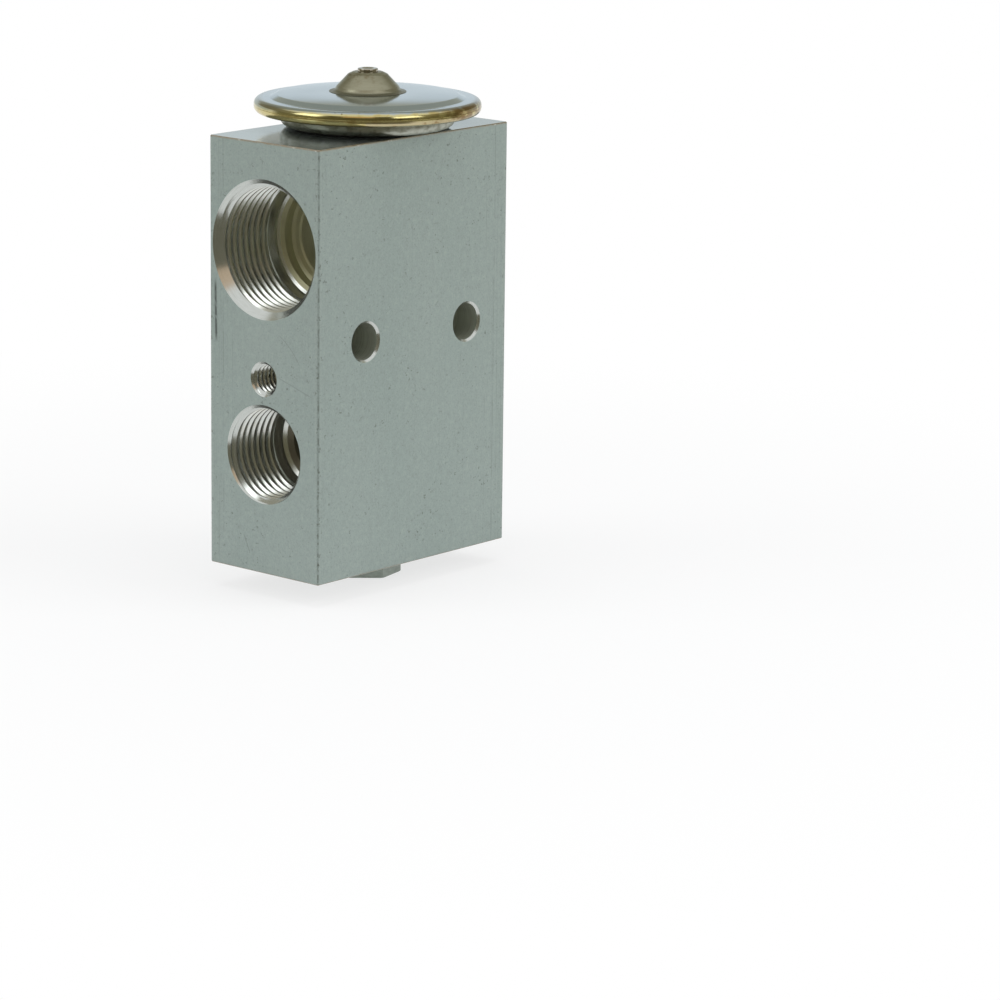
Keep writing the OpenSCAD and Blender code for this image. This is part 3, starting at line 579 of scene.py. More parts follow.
class Finish:
    """A procedural metal or rubber, built up from patterns on the piece's own coordinates."""

    def __init__(self, name, base, metallic, roughness):
        self.material = bpy.data.materials.new(name)
        self.material.use_nodes = True
        self.tree = self.material.node_tree
        self.shader = self.tree.nodes["Principled BSDF"]
        self.shader.inputs["Base Color"].default_value = base
        self.shader.inputs["Metallic"].default_value = metallic
        self.shader.inputs["Roughness"].default_value = roughness
        self.tone = base
        self.work = sums(self.tree)
        self.height = None

    def place(self, scale=(1, 1, 1), centre=(0, 0, 0)):
        """Object coordinates in millimetres, counted from a centre and stretched."""
        where = node(self.tree, "ShaderNodeTexCoord").outputs["Object"]
        moved = node(self.tree, "ShaderNodeVectorMath", {0: where, 1: Vector(centre) * MM},
                     operation="SUBTRACT")
        size = [s / MM for s in scale]
        return node(self.tree, "ShaderNodeVectorMath", {0: moved.outputs[0], 1: size},
                    operation="MULTIPLY").outputs[0]

    def axes(self, centre=(0, 0, 0)):
        """The three coordinates in millimetres, counted from a centre."""
        parts = node(self.tree, "ShaderNodeSeparateXYZ", {0: self.place(centre=centre)}).outputs
        return parts["X"], parts["Y"], parts["Z"]

    def reach(self, centre):
        """Distance from an upright axis, in millimetres."""
        flat = self.place((1, 1, 0), centre)
        return node(self.tree, "ShaderNodeVectorMath", {0: flat}, operation="LENGTH").outputs["Value"]

    def noise(self, scale, seed=0.0, detail=3, roughness=0.55):
        """Soft noise from 0 to 1. scale is its grains per millimetre along X, Y and Z."""
        made = node(self.tree, "ShaderNodeTexNoise", {"Vector": self.place(scale), "W": seed, "Scale": 1.0,
                                                      "Detail": detail, "Roughness": roughness},
                    noise_dimensions="4D")
        return made.outputs["Fac"]

    def specks(self, scale, size, share, seed=0.0, ragged=0.35):
        """1 inside scattered specks. size is their radius as a share of a cell, and share is how many
        cells hold one."""
        vector = self.place(scale)
        rough = node(self.tree, "ShaderNodeTexNoise", {"Vector": vector, "Scale": 2.5, "Detail": 2.0})
        shift = node(self.tree, "ShaderNodeVectorMath", {0: rough.outputs["Color"], 1: (ragged,) * 3},
                     operation="MULTIPLY")
        moved = node(self.tree, "ShaderNodeVectorMath", {0: vector, 1: shift.outputs[0]}, operation="ADD")
        moved = node(self.tree, "ShaderNodeVectorMath", {0: moved.outputs[0], 1: (seed, seed * 1.7, -seed)},
                     operation="ADD")
        cells = node(self.tree, "ShaderNodeTexVoronoi", {"Vector": moved.outputs[0], "Scale": 1.0})
        chance = node(self.tree, "ShaderNodeSeparateColor", {"Color": cells.outputs["Color"]}).outputs["Red"]
        inside = self.above(cells.outputs["Distance"], size, size * 0.55)
        return self.work("MULTIPLY", inside, self.work("LESS_THAN", chance, share))

    def above(self, value, low, high):
        """0 at low, 1 at high, straight between."""
        made = node(self.tree, "ShaderNodeMapRange", {"Value": value, "From Min": low, "From Max": high})
        return made.outputs["Result"]

    def line(self, value, at, half_width):
        """1 where the value is at, falling to 0 half_width to either side."""
        off = self.work("ABSOLUTE", self.work("SUBTRACT", value, at))
        return self.above(off, half_width, 0.0)

    def near(self, centre, reach):
        """1 at a point of the piece, in millimetres, falling to 0 at a distance of reach."""
        off = node(self.tree, "ShaderNodeVectorMath", {0: self.place(centre=centre)}, operation="LENGTH")
        return self.above(off.outputs["Value"], reach, 0.0)

    def scratch(self, u, v, start, end, width, bend=0.0):
        """1 along a fine line between two points of a face, whose directions are u and v. bend is how
        far its middle swings out."""
        length = math.dist(start, end)
        du, dv = (end[0] - start[0]) / length, (end[1] - start[1]) / length
        pu, pv = self.work("SUBTRACT", u, start[0]), self.work("SUBTRACT", v, start[1])
        along = self.work("MULTIPLY_ADD", pu, du, self.work("MULTIPLY", pv, dv))
        across = self.work("MULTIPLY_ADD", pu, -dv, self.work("MULTIPLY", pv, du))
        swing = self.work("MULTIPLY", along, self.work("SUBTRACT", length, along))
        across = self.work("MULTIPLY_ADD", swing, -4 * bend / length ** 2, across)
        ends = self.both(self.above(along, 0, 0.15 * length), self.above(along, length, 0.85 * length))
        return self.both(self.line(across, 0.0, width), ends)

    def both(self, *shares):
        """The shares multiplied together."""
        result = shares[0]
        for share in shares[1:]:
            result = self.work("MULTIPLY", result, share)
        return result

    def stain(self, share, paint):
        """Blends a colour over what is there, by a share from 0 to 1."""
        made = node(self.tree, "ShaderNodeMix", {"Factor": share}, data_type="RGBA")
        for key, value in ((6, self.tone), (7, paint)):
            if isinstance(value, bpy.types.NodeSocket):
                self.tree.links.new(value, made.inputs[key])
            else:
                made.inputs[key].default_value = value
        self.tone = made.outputs[2]
        self.tree.links.new(self.tone, self.shader.inputs["Base Color"])

    def rough(self, value, smooth, coarse):
        """Roughness that goes from smooth to coarse as the value goes from 0 to 1."""
        made = node(self.tree, "ShaderNodeMapRange", {"Value": value, "To Min": smooth, "To Max": coarse})
        self.tree.links.new(made.outputs["Result"], self.shader.inputs["Roughness"])

    def bump(self, height, depth_mm):
        """Relief of the surface, depth_mm high where the height goes from 0 to 1."""
        made = node(self.tree, "ShaderNodeBump",
                    {"Height": height, "Distance": depth_mm * MM, "Strength": 1.0})
        if self.height:
            self.tree.links.new(self.height, made.inputs["Normal"])
        self.height = made.outputs["Normal"]
        self.tree.links.new(self.height, self.shader.inputs["Normal"])

    def inset(self, which):
        """Distance in from the block's sides, in millimetres. MAXIMUM counts from the nearest upright
        edge, along a side face, and MINIMUM from the nearest edge of an end."""
        x, y = self.axes()[:2]
        return self.work(which, self.work("SUBTRACT", BLOCK_T / 2, self.work("ABSOLUTE", x)),
                         self.work("SUBTRACT", BLOCK_W / 2, self.work("ABSOLUTE", y)))

    def toward(self, x, y, along_x, along_y):
        """Distance along a level direction, in millimetres."""
        return self.work("MULTIPLY_ADD", y, along_y, self.work("MULTIPLY", x, along_x))


def extruded_skin():
    """The bar's own skin: matte grey-green aluminium with a few die lines, pits and worn edges."""
    f = Finish("extruded aluminium skin", colour(149, 161, 156), 0.3, 0.5)
    x, y, z = f.axes()
    inward = f.inset("MAXIMUM")
    f.stain(f.above(f.noise((0.05, 0.05, 0.02), 0.0, 4), 0.36, 0.66), colour(144, 157, 152))
    mottle = f.noise((0.9, 0.9, 0.7), 1.0, 4, 0.7)
    f.stain(f.both(f.above(mottle, 0.50, 0.74), 0.5), colour(137, 148, 142))
    f.stain(f.both(f.above(mottle, 0.46, 0.26), 0.5), colour(161, 172, 165))
    grain = f.noise((4.5, 4.5, 3.5), 1.5, 3, 0.6)
    f.stain(f.both(f.above(grain, 0.52, 0.72), 0.52), colour(122, 132, 126))
    f.stain(f.both(f.above(grain, 0.46, 0.28), 0.42), colour(164, 174, 168))
    # Faint drawing lines, mostly next to the upright edges, but hardly any at the near one
    hairs = f.noise((3.6, 3.6, 0.03), 2.0, 3, 0.6)
    away = f.above(f.reach((BLOCK_T / 2, FRONT, 0)), 7.0, 10.0)
    at_edge = f.both(f.work("MULTIPLY_ADD", f.above(inward, 5.0, 1.5), 0.22, 0.07),
                     f.work("MULTIPLY_ADD", away, 0.7, 0.3))
    f.stain(f.both(f.above(hairs, 0.50, 0.68), at_edge), colour(112, 121, 116))
    broken = f.above(f.noise((0.3, 0.3, 0.22), 3.0), 0.40, 0.56)
    f.stain(f.both(f.line(inward, 3.4, 0.15), broken, away, 0.40), colour(96, 104, 98))
    inner_gaps = f.above(f.noise((0.2, 0.2, 0.09), 4.5), 0.42, 0.55)
    f.stain(f.both(f.line(inward, 2.3, 0.11), inner_gaps, away, 0.28), colour(100, 108, 102))
    outer_gaps = f.above(f.noise((0.2, 0.2, 0.07), 4.0), 0.5, 0.6)
    f.stain(f.both(f.line(inward, 5.7, 0.12), outer_gaps, away, 0.30), colour(100, 108, 101))
    # Pits: sparse, with a cluster near the top of the side face, and small handling marks
    corner = f.work("MULTIPLY", f.near((BLOCK_T / 2, FRONT + 7, BLOCK_TOP - 6), 18), 1.3, clamp=True)
    clusters = f.work("MAXIMUM", f.above(f.noise((0.075, 0.075, 0.07), 5.0, 2), 0.40, 0.60), corner)
    pits = f.both(f.specks((0.8, 0.8, 0.7), 0.17, 0.24, 6.0, 0.9), clusters)
    smears = f.both(f.above(f.noise((1.1, 1.1, 1.3), 6.5, 3, 0.65), 0.640, 0.70), clusters)
    fine = f.both(f.specks((1.5, 1.5, 1.3), 0.24, 0.20, 7.0, 0.9),
                  f.work("MULTIPLY_ADD", clusters, 0.86, 0.14))
    marks = f.both(f.specks((0.34, 0.34, 1.1), 0.12, 0.24, 8.0, 1.3), clusters)
    f.stain(f.both(fine, 0.42), colour(100, 108, 101))
    f.stain(f.both(pits, 0.65), colour(76, 83, 76))
    f.stain(f.both(smears, 0.75), colour(86, 94, 86))
    f.stain(f.both(marks, 0.5), colour(96, 104, 97))
    # Scores and hair scratches on the front face
    front = f.above(y, FRONT + 0.15, FRONT + 0.05)
    score = f.scratch(x, z, (-12.1, 57.5), (-11.9, 45.5), 0.42)
    f.stain(f.both(front, score, f.above(f.noise((1, 1, 0.5), 8.5), 0.30, 0.46), 0.95), colour(44, 48, 44))
    arc = f.scratch(x, z, (3.4, 49.2), (9.2, 43.6), 0.12, 0.55)
    f.stain(f.both(front, arc, 0.45), colour(96, 104, 100))
    f.stain(f.both(front, f.scratch(x, z, (2.6, 41.5), (12.6, 38.5), 0.12), 0.4), colour(96, 104, 100))
    f.stain(f.both(front, f.scratch(x, z, (-5.0, 11.0), (-3.4, 7.5), 0.13), 0.5), colour(84, 92, 88))
    # Upright edges: rubbed lighter, with a thin broken dark line
    f.stain(f.both(f.line(inward, 0.55, 0.42), 0.12), colour(164, 173, 167))
    rubbed = f.above(f.noise((1.3, 1.3, 1.0), 9.0, 4, 0.7), 0.47, 0.56)
    upper = f.above(z, BLOCK_FOOT + 15, BLOCK_TOP - 22)
    worn = f.both(f.work("MULTIPLY_ADD", rubbed, 0.74, 0.10), f.work("MULTIPLY_ADD", upper, -0.3, 1.0))
    f.stain(f.both(f.line(inward, 0.10, 0.24), worn, 0.85), colour(74, 76, 66))
    freckles = f.above(f.noise((1.6, 1.6, 1.1), 9.5, 3, 0.6), 0.60, 0.66)
    f.stain(f.both(f.above(inward, 1.4, 0.3), freckles, 0.75), colour(80, 84, 74))
    # Sawn edges: a thin tan line at the top with bright nicks, a darker one at the foot
    crumbs = f.noise((0.8, 0.8, 0.8), 10.0, 4, 0.65)
    top = f.above(z, BLOCK_TOP - 0.42, BLOCK_TOP - 0.16)
    f.stain(f.both(top, f.above(crumbs, 0.30, 0.52), 0.75), colour(142, 128, 106))
    f.stain(f.both(top, f.above(crumbs, 0.60, 0.66)), colour(214, 218, 212))
    foot = f.above(z, BLOCK_FOOT + 0.34, BLOCK_FOOT + 0.08)
    f.stain(f.both(foot, f.above(crumbs, 0.36, 0.56), 0.6), colour(98, 104, 92))
    f.rough(mottle, 0.46, 0.56)
    f.bump(mottle, 0.004)
    f.bump(f.work("ADD", f.work("ADD", pits, fine), marks), -0.03)
    return f.material


def sawn_end():
    """Top and underside of the bar: milled bright, with the cutter's fine lines and painted shade towards the
    rear.
    """
    f = Finish("milled end of the bar", colour(152, 160, 155), 0.66, 0.2)
    lines = f.noise((0.15, 3.0, 1.0), 11.0, 3, 0.7)
    f.stain(f.both(f.above(lines, 0.4, 0.7), 0.5), colour(148, 153, 150))
    patches = f.above(f.noise((0.11, 0.11, 0.11), 12.0, 4, 0.6), 0.48, 0.7)
    f.stain(f.both(patches, 0.6), colour(134, 139, 130))
    f.stain(f.both(f.specks((0.7, 0.7, 0.7), 0.16, 0.3, 13.0), 0.5), colour(110, 112, 100))
    y = f.axes()[1]
    crumbs = f.noise((0.9, 0.9, 0.9), 14.0, 4, 0.65)
    # Painted shade: the end is darker towards the rear
    f.stain(f.both(f.above(y, 12.0, 20.0), 0.5), colour(112, 118, 110))
    rim = f.above(f.inset("MINIMUM"), 0.5, 0.2)
    f.stain(f.both(rim, f.above(crumbs, 0.3, 0.55), 0.85), colour(146, 130, 104))
    f.rough(lines, 0.05, 0.14)
    f.bump(lines, 0.003)
    return f.material


def turned_bore():
    """Bored and tapped walls: bright aluminium with the tool's own rings."""
    f = Finish("bored aluminium", colour(216, 219, 214), 0.92, 0.2)
    rings = f.noise((0.05, 6.0, 0.05), 15.0, 3, 0.7)
    f.stain(f.both(f.above(rings, 0.45, 0.72), 0.55), colour(196, 198, 188))
    f.stain(f.both(f.above(f.noise((0.3, 0.3, 0.3), 16.0, 3), 0.5, 0.72), 0.35), colour(190, 184, 166))
    f.rough(rings, 0.14, 0.28)
    f.bump(rings, 0.0016)
    return f.material


def deep_wall():
    """Drilled passages behind the threads: dull and a little oily, with painted shade in the lower passages.
    """
    f = Finish("oily passage with painted shade", colour(194, 192, 156), 0.5, 0.42)
    rings = f.noise((0.1, 4.0, 0.1), 16.5, 3, 0.7)
    f.stain(f.both(f.above(rings, 0.4, 0.7), 0.6), colour(172, 169, 132))
    # Painted shade: the inlet and outlet passages, low in the block, are darker than the suction one
    z = f.axes()[2]
    f.stain(f.both(f.above(z, BLOCK_FOOT + 46, BLOCK_FOOT + 42), 0.85), colour(116, 110, 98))
    f.rough(rings, 0.3, 0.46)
    f.bump(rings, 0.002)
    return f.material


def cut_mouth():
    """Chamfers of the ports: turned duller than the bores, with a fine grain round them."""
    f = Finish("chamfered aluminium", colour(198, 202, 198), 0.92, 0.18)
    rings = f.noise((0.4, 9.0, 0.4), 17.5, 3, 0.7)
    f.stain(f.both(f.above(rings, 0.45, 0.72), 0.5), colour(180, 183, 176))
    f.rough(rings, 0.14, 0.24)
    f.bump(rings, 0.0016)
    return f.material


def drilled_wall():
    """Walls of the two mounting holes: drilled, so duller than the bored ports."""
    f = Finish("drilled aluminium", colour(196, 200, 186), 0.7, 0.42)
    rings = f.noise((4.0, 0.1, 0.1), 17.0, 3, 0.7)
    f.stain(f.both(f.above(rings, 0.4, 0.7), 0.6), colour(160, 162, 146))
    f.rough(rings, 0.36, 0.5)
    f.bump(rings, 0.003)
    return f.material


def plated_cover():
    """Zinc-plated steel: blue-grey and bright on top, gold round the rim."""
    f = Finish("plated cover", colour(166, 177, 184), 1.0, 0.12)
    centre = (0, MECH_Y, 0)
    reach = f.reach(centre)
    cloud = f.noise((0.09, 0.09, 0.09), 18.0, 3, 0.5)
    f.stain(f.both(f.above(cloud, 0.42, 0.66), 0.5), colour(156, 168, 177))
    mottle = f.noise((0.5, 0.5, 0.5), 19.0, 4, 0.6)
    edge = f.above(f.work("MULTIPLY_ADD", mottle, 0.5, reach), 20.45, 20.8)
    f.stain(edge, colour(200, 190, 136))
    f.stain(f.both(edge, f.above(mottle, 0.5, 0.66), 0.6), colour(174, 156, 96))
    # Bare and dull at one end of the rim, with a brown heat stain round the other
    x, y, z = f.axes(centre)
    end = f.toward(x, y, WELD_X, WELD_Y)
    over_seam = f.above(z, BLOCK_TOP + 4.0, BLOCK_TOP + 4.8)
    bare = f.both(f.above(end, -10.0, -18.0), f.above(reach, 19.0, 20.2), over_seam)
    f.stain(f.both(bare, 0.8), colour(140, 138, 122))
    burnt = f.both(f.above(end, 9.5, 17.0), f.above(reach, 19.3, 20.4), f.above(mottle, 0.34, 0.50))
    f.stain(f.both(burnt, 0.85), colour(118, 90, 46))
    spots = f.specks((0.9, 0.9, 0.9), 0.2, 0.5, 20.0)
    f.stain(f.both(spots, f.above(reach, 19.0, 20.2), 0.6), colour(96, 88, 60))
    f.rough(cloud, 0.09, 0.17)
    f.bump(cloud, 0.004)
    return f.material


def plated_cup():
    """The lower cup: gold on its half of the rim, grey and dull on the drawn wall."""
    f = Finish("plated cup", colour(176, 179, 168), 0.9, 0.36)
    centre = (0, MECH_Y, 0)
    reach = f.reach(centre)
    mottle = f.noise((0.45, 0.45, 0.8), 21.0, 4, 0.6)
    f.stain(f.both(f.above(mottle, 0.47, 0.60), 0.7), colour(118, 117, 100))
    edge = f.above(f.work("MULTIPLY_ADD", mottle, 1.2, reach), 20.0, 20.5)
    f.stain(edge, colour(202, 190, 134))
    f.stain(f.both(edge, f.above(mottle, 0.5, 0.64), 0.6), colour(170, 146, 84))
    # Dried flux under the rim, which ends in a step on the side of the welder's start
    x, y, z = f.axes(centre)
    along = f.toward(x, y, WELD_X, WELD_Y)
    facing = f.toward(x, y, WELD_Y, -WELD_X)
    low = f.above(z, BLOCK_TOP + 3.85, BLOCK_TOP + 3.65)
    flux = f.both(f.above(along, -0.6, -0.3), f.above(facing, 4.0, 9.0), low, f.above(reach, 17.5, 18.5))
    f.stain(f.both(flux, 0.85), colour(186, 174, 140))
    f.stain(f.both(flux, f.above(mottle, 0.54, 0.62), 0.8), colour(146, 120, 78))
    burnt = f.both(f.above(along, 10.0, 17.0), f.above(reach, 19.0, 20.2), f.above(mottle, 0.36, 0.52))
    f.stain(f.both(burnt, 0.8), colour(118, 92, 50))
    f.rough(f.above(reach, 20.0, 19.0), 0.16, 0.42)
    f.bump(mottle, 0.006)
    return f.material


def satin_dome():
    """Dome: heat-tinted steel with a satin grain and brown stains, and painted shade on its upper part and
    round its foot.
    """
    f = Finish("satin dome", colour(154, 152, 131), 1.0, 0.36)
    grain = f.noise((0.4, 0.4, 5.0), 22.0, 3, 0.6)
    f.stain(f.both(f.above(grain, 0.4, 0.7), 0.6), colour(140, 138, 116))
    mottle = f.noise((0.5, 0.5, 0.6), 23.0, 4, 0.62)
    z = f.axes()[2]
    # Painted shade: the upper part of the dome is darker, and the real brown stains are made stronger there
    # to add to it
    upper = f.above(z, BLOCK_TOP + DOME_SEAT_H + 1.6, BLOCK_TOP + DOME_SEAT_H + 3.4)
    f.stain(f.both(upper, 0.5), colour(128, 125, 103))
    brown_stains_and_top_shade = f.both(f.above(mottle, 0.50, 0.64), f.work("MULTIPLY_ADD", upper, 0.6, 0.15))
    f.stain(brown_stains_and_top_shade, colour(106, 92, 62))
    # Painted shadow: a dark band round the foot of the dome, where its lip meets the cover
    lip = f.above(z, BLOCK_TOP + DOME_SEAT_H + 0.5, BLOCK_TOP + DOME_SEAT_H + 0.25)
    f.stain(f.both(lip, 0.7), colour(100, 98, 82))
    f.rough(grain, 0.3, 0.44)
    f.bump(grain, 0.003)
    return f.material


def plain_metal(name, tint, roughness, seed, grain=(0.6, 0.6, 5.0), metallic=1.0):
    """Turned or pressed metal of a smaller piece, with a fine grain."""
    f = Finish(name, tint, metallic, roughness)
    lines = f.noise(grain, seed, 3, 0.6)
    f.stain(f.above(lines, 0.35, 0.7), [c * 0.78 for c in tint[:3]] + [1.0])
    patches = f.above(f.noise((0.5, 0.5, 0.5), seed + 0.5), 0.58, 0.7)
    f.stain(f.both(patches, 0.3), [c * 0.5 for c in tint[:3]] + [1.0])
    f.rough(lines, roughness * 0.8, roughness * 1.25)
    f.bump(lines, 0.003)
    return f.material


def black_rubber():
    """Moulded ring: matte, with a dusty grain."""
    f = Finish("black rubber", colour(30, 30, 28), 0.0, 0.6)
    grain = f.noise((3.0, 3.0, 3.0), 24.0, 3, 0.6)
    f.stain(f.above(grain, 0.4, 0.7), colour(50, 49, 45))
    f.rough(grain, 0.5, 0.75)
    f.bump(grain, 0.01)
    return f.material


def dress_nodes(nodes):
    """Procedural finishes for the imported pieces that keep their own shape."""
    steel = plain_metal("ground steel", colour(196, 196, 192), 0.22, 31.0)
    aluminium = plain_metal("turned aluminium", colour(204, 206, 204), 0.26, 32.0)
    nut = plain_metal("milled nut", colour(158, 167, 158), 0.42, 33.0, (0.9, 0.9, 2.0), 0.6)
    brass = plain_metal("turned brass", colour(196, 168, 96), 0.24, 34.0)
    polished = plain_metal("polished ball", colour(214, 214, 214), 0.08, 36.0, (0.3, 0.3, 0.3))
    rubber = black_rubber()
    finishes = {
        "element_gasket": rubber, "rod_seal": rubber, "adjuster_seal": rubber,
        "diaphragm": steel, "diaphragm_stopper": steel, "rod_seal_retainer": steel, "push_pin": steel,
        "orifice_seat": steel, "carrier_clip": steel, "spring_seat": steel, "sensing_rod": aluminium,
        "adjusting_nut": nut, "valve_ball": polished, "ball_carrier": brass,
    }
    for name, finish in finishes.items():
        mesh = nodes[name].data
        mesh.materials.clear()
        mesh.materials.append(finish)


# Floor, lamps, cards and camera

# The camera, in degrees round the block's middle, and where that middle lands in the frame
CAMERA_AZIMUTH, CAMERA_ELEVATION, CAMERA_ROLL = 42.644, 11.082, -0.303
CAMERA_DISTANCE = 10.252 * BLOCK_H * MM
FOCAL_PX, FRAME_PX = 4394.4, 1000
CENTRE_PX = (359.52, 340.97)
ROOM_LIGHT = 0.55


def is_seen(tree):
    """1 for rays from the camera and for mirror and glass rays, 0 for the rest."""
    rays = tree.nodes.new("ShaderNodeLightPath").outputs
    work = sums(tree)
    return work("MAXIMUM", rays["Is Camera Ray"], work("MAXIMUM", rays["Is Glossy Ray"],
                                                       rays["Is Transmission Ray"]))


def make_room():
    """White room and a pale floor that keeps a soft shadow, fades to white further out and lets the
    underside be seen from below."""
    world = bpy.data.worlds.new("studio")
    bpy.context.scene.world = world
    world.use_nodes = True
    tree = world.node_tree
    tree.nodes.clear()
    room = node(tree, "ShaderNodeBackground", {"Color": (0.97, 0.985, 1.0, 1), "Strength": ROOM_LIGHT})
    white = node(tree, "ShaderNodeBackground", {"Color": (1, 1, 1, 1), "Strength": 1.0})
    both = node(tree, "ShaderNodeMixShader", {0: is_seen(tree), 1: room.outputs[0], 2: white.outputs[0]})
    node(tree, "ShaderNodeOutputWorld", {"Surface": both.outputs[0]})

    bm = bmesh.new()
    bmesh.ops.create_grid(bm, x_segments=1, y_segments=1, size=3.0)
    floor = finish_mesh(bm, "floor")
    paper = bpy.data.materials.new("white paper")
    paper.use_nodes = True
    tree = paper.node_tree
    tree.nodes.clear()
    work = sums(tree)
    where = node(tree, "ShaderNodeTexCoord").outputs["Object"]
    far = node(tree, "ShaderNodeVectorMath", {0: where}, operation="LENGTH").outputs["Value"]
    fade = node(tree, "ShaderNodeMapRange",
                {"Value": far, "From Min": 0.06, "From Max": 0.22, "To Min": 0.72},
                interpolation_type="SMOOTHSTEP").outputs["Result"]
    matte = node(tree, "ShaderNodeBsdfDiffuse", {"Color": (0.86, 0.86, 0.86, 1)})
    bright = node(tree, "ShaderNodeEmission", {"Color": (1, 1, 1, 1), "Strength": 1.0})
    both = node(tree, "ShaderNodeMixShader", {0: work("MULTIPLY", is_seen(tree), fade), 1: matte.outputs[0],
                                              2: bright.outputs[0]})
    clear = node(tree, "ShaderNodeBsdfTransparent")
    behind = node(tree, "ShaderNodeNewGeometry").outputs["Backfacing"]
    sheet = node(tree, "ShaderNodeMixShader", {0: behind, 1: both.outputs[0], 2: clear.outputs[0]})
    node(tree, "ShaderNodeOutputMaterial", {"Surface": sheet.outputs[0]})
    floor.data.materials.append(paper)


def softbox(name, azimuth, distance, height, width, power):
    """One square soft lamp that looks at the block. Azimuth 0 is in front of the front port face."""
    lamp = bpy.data.lights.new(name, "AREA")
    lamp.shape = "SQUARE"
    lamp.size = width
    lamp.energy = power
    spot = bpy.data.objects.new(name, lamp)
    a = math.radians(azimuth)
    place = Vector((math.sin(a) * distance, -math.cos(a) * distance, height))
    spot.location = place
    spot.rotation_euler = (Vector((0, 0, 0.045)) - place).to_track_quat("-Z", "Y").to_euler()
    spot.visible_glossy = False
    bpy.context.scene.collection.objects.link(spot)


def card(name, azimuth, spread, profile, paint, soft=8, fade=0.0):
    """A curved card round the block that only mirror rays meet, so that bright metal has something to
    show. profile lists its edges as (distance, height). It fades out over soft degrees at its ends and
    over a height of fade at its top."""
    bm = bmesh.new()
    steps = 24
    rings = []
    for reach, z in profile:
        ring = []
        for i in range(steps + 1):
            a = math.radians(azimuth - spread + 2 * spread * i / steps)
            ring.append(bm.verts.new((math.sin(a) * reach, -math.cos(a) * reach, z)))
        rings.append(ring)
    for low, high in zip(rings, rings[1:]):
        for i in range(steps):
            bm.faces.new((low[i], low[i + 1], high[i + 1], high[i]))
    screen = finish_mesh(bm, name)
    cloth = bpy.data.materials.new(name)
    cloth.use_nodes = True
    tree = cloth.node_tree
    tree.nodes.clear()
    where = node(tree, "ShaderNodeTexCoord").outputs["Object"]
    flat = node(tree, "ShaderNodeVectorMath", {0: where, 1: (1, 1, 0)}, operation="MULTIPLY").outputs[0]
    away = node(tree, "ShaderNodeVectorMath", {0: flat}, operation="NORMALIZE").outputs[0]
    a = math.radians(azimuth)
    facing = node(tree, "ShaderNodeVectorMath", {0: away, 1: (math.sin(a), -math.cos(a), 0)},
                  operation="DOT_PRODUCT").outputs["Value"]
    share = node(tree, "ShaderNodeMapRange", {"Value": facing, "From Min": math.cos(math.radians(spread)),
                                              "From Max": math.cos(math.radians(spread - soft))},
                 interpolation_type="SMOOTHSTEP").outputs["Result"]
    if fade:
        z = node(tree, "ShaderNodeSeparateXYZ", {0: where}).outputs["Z"]
        top = profile[-1][1]
        under = node(tree, "ShaderNodeMapRange", {"Value": z, "From Min": top, "From Max": top - fade},
                     interpolation_type="SMOOTHSTEP").outputs["Result"]
        share = sums(tree)("MULTIPLY", share, under)
    glow = node(tree, "ShaderNodeEmission", {"Color": paint, "Strength": 1.0})
    clear = node(tree, "ShaderNodeBsdfTransparent")
    mixed = node(tree, "ShaderNodeMixShader", {0: share, 1: clear.outputs[0], 2: glow.outputs[0]})
    node(tree, "ShaderNodeOutputMaterial", {"Surface": mixed.outputs[0]})
    screen.data.materials.append(cloth)
    screen.visible_camera = False
    screen.visible_diffuse = False
    screen.visible_shadow = False
    screen.visible_transmission = False


def make_camera():
    """The photograph's camera: the block's middle lands on the same spot of the frame."""
    a, e, roll = (math.radians(v) for v in (CAMERA_AZIMUTH, CAMERA_ELEVATION, CAMERA_ROLL))
    back = Vector((math.sin(a) * math.cos(e), -math.cos(a) * math.cos(e), math.sin(e)))
    right = Vector((math.cos(a), math.sin(a), 0))
    up = back.cross(right)
    view = Matrix((right, up, back))
    tilt = Matrix(((math.cos(roll), -math.sin(roll), 0), (math.sin(roll), math.cos(roll), 0), (0, 0, 1)))
    middle = FRAME_PX / 2
    aim = Vector(((CENTRE_PX[0] - middle) / FOCAL_PX, -(CENTRE_PX[1] - middle) / FOCAL_PX, -1)).normalized()
    ahead = Vector((0, 0, -1))
    swing = ahead.rotation_difference(aim).to_matrix()
    whole = swing @ tilt @ view
    centre = Vector((0, 0, (BLOCK_FOOT + BLOCK_H / 2) * MM))
    offset = swing @ (ahead * CAMERA_DISTANCE)
    data = bpy.data.cameras.new("camera")
    data.sensor_width = 36.0
    data.lens = FOCAL_PX / FRAME_PX * data.sensor_width
    data.clip_start = 0.01
    data.clip_end = 20.0
    camera = bpy.data.objects.new("camera", data)
    turned_back = whole.transposed()
    camera.matrix_world = Matrix.Translation(centre - turned_back @ offset) @ turned_back.to_4x4()
    bpy.context.scene.collection.objects.link(camera)
    bpy.context.scene.camera = camera


# The valve

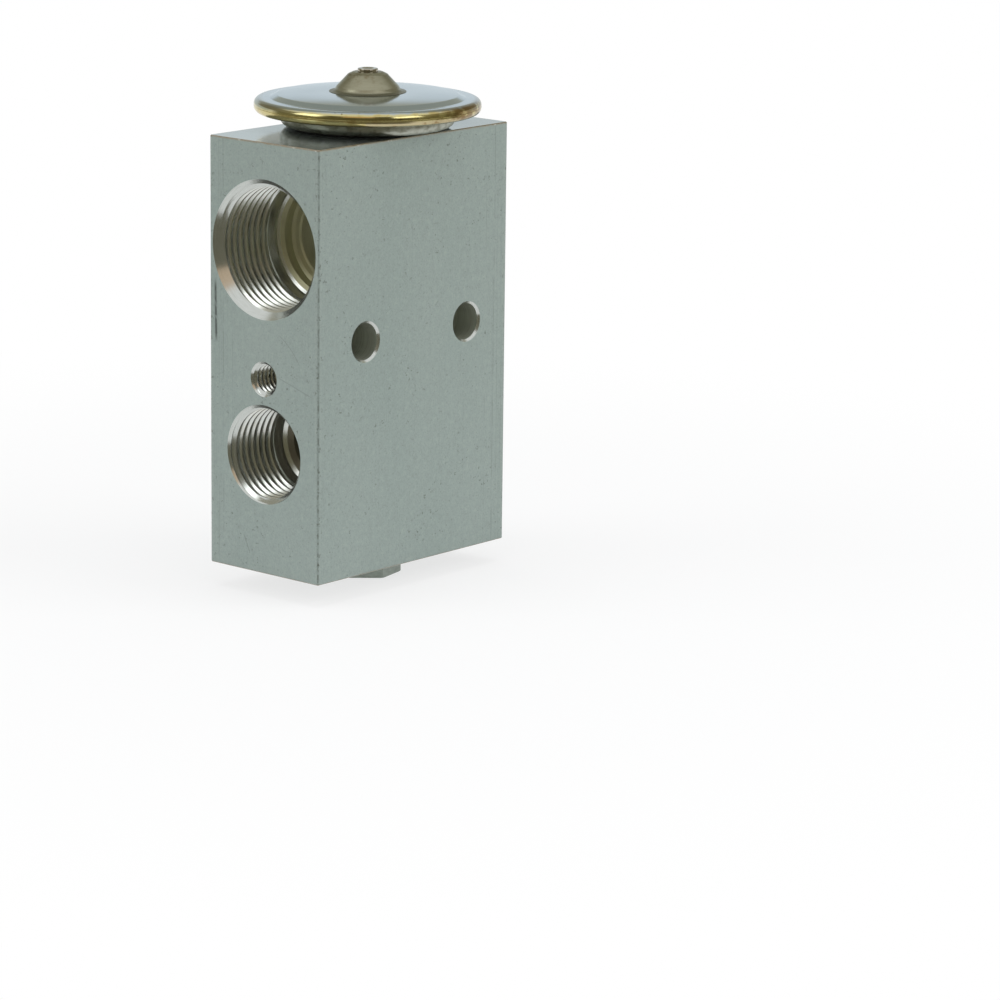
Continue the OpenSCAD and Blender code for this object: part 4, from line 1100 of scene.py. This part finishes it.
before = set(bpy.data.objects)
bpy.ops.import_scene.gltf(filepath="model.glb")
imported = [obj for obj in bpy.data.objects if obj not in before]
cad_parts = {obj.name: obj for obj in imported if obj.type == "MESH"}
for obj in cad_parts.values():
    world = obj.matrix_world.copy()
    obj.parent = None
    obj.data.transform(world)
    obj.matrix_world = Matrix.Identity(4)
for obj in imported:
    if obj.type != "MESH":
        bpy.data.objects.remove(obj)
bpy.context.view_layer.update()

make_camera()
make_room()
softbox("overhead", CAMERA_AZIMUTH, 0.05, 0.75, 0.6, 1.6)
softbox("left", CAMERA_AZIMUTH - 74, 0.62, 0.30, 0.5, 1.6)
softbox("right", CAMERA_AZIMUTH + 74, 0.62, 0.30, 0.5, 2.2)
card("dark_cloth", CAMERA_AZIMUTH, 54, [(0.085, 0.002), (0.9, 0.002), (0.9, 0.95)],
     (0.135, 0.124, 0.076, 1), 14, 0.3)
card("dim_table", CAMERA_AZIMUTH, 114, [(0.22, 0.001), (0.95, 0.001), (0.95, 0.36)],
     (0.25, 0.235, 0.16, 1), 14, 0.1)
card("left_flat", CAMERA_AZIMUTH - 100, 54, [(1.05, 0.26), (1.05, 1.05)], (0.36, 0.34, 0.26, 1), 10, 0.3)
card("right_flat", CAMERA_AZIMUTH + 100, 54, [(1.05, 0.26), (1.05, 1.05)], (0.36, 0.34, 0.26, 1), 10, 0.3)
card("left_lamp", CAMERA_AZIMUTH - 66, 18, [(0.8, 0.26), (0.8, 0.80)], (2.3, 2.35, 2.35, 1), 8, 0.1)
card("right_lamp", CAMERA_AZIMUTH + 42, 17, [(0.8, 0.26), (0.8, 0.70)], (2.1, 2.1, 2.05, 1), 5, 0.1)
card("tan_board", CAMERA_AZIMUTH - 10, 19, [(0.86, 0.40), (0.86, 0.95)], (0.72, 0.54, 0.38, 1), 5, 0.1)
card("back_paper", CAMERA_AZIMUTH + 180, 66, [(1.5, 0.001), (1.5, 0.58)], (0.76, 0.84, 0.88, 1), 10, 0.16)
card("back_shade", CAMERA_AZIMUTH + 180, 66, [(1.52, 0.36), (1.52, 3.4)], (0.49, 0.49, 0.40, 1), 14, 0.5)

bore_finish = turned_bore()
thread_tools = thread_tree(bore_finish)
make_block(thread_tools, (extruded_skin(), sawn_end(), bore_finish, drilled_wall(), cut_mouth(), deep_wall()))
make_cover(plated_cover())
make_base(plated_cup())
make_dome(satin_dome())
make_plug(plain_metal("plug steel", colour(176, 170, 156), 0.16, 30.0))
make_spring(plain_metal("spring wire", colour(166, 166, 164), 0.3, 35.0, (3.0, 3.0, 3.0)))
dress_nodes(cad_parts)

bpy.context.scene.view_settings.view_transform = "Standard"
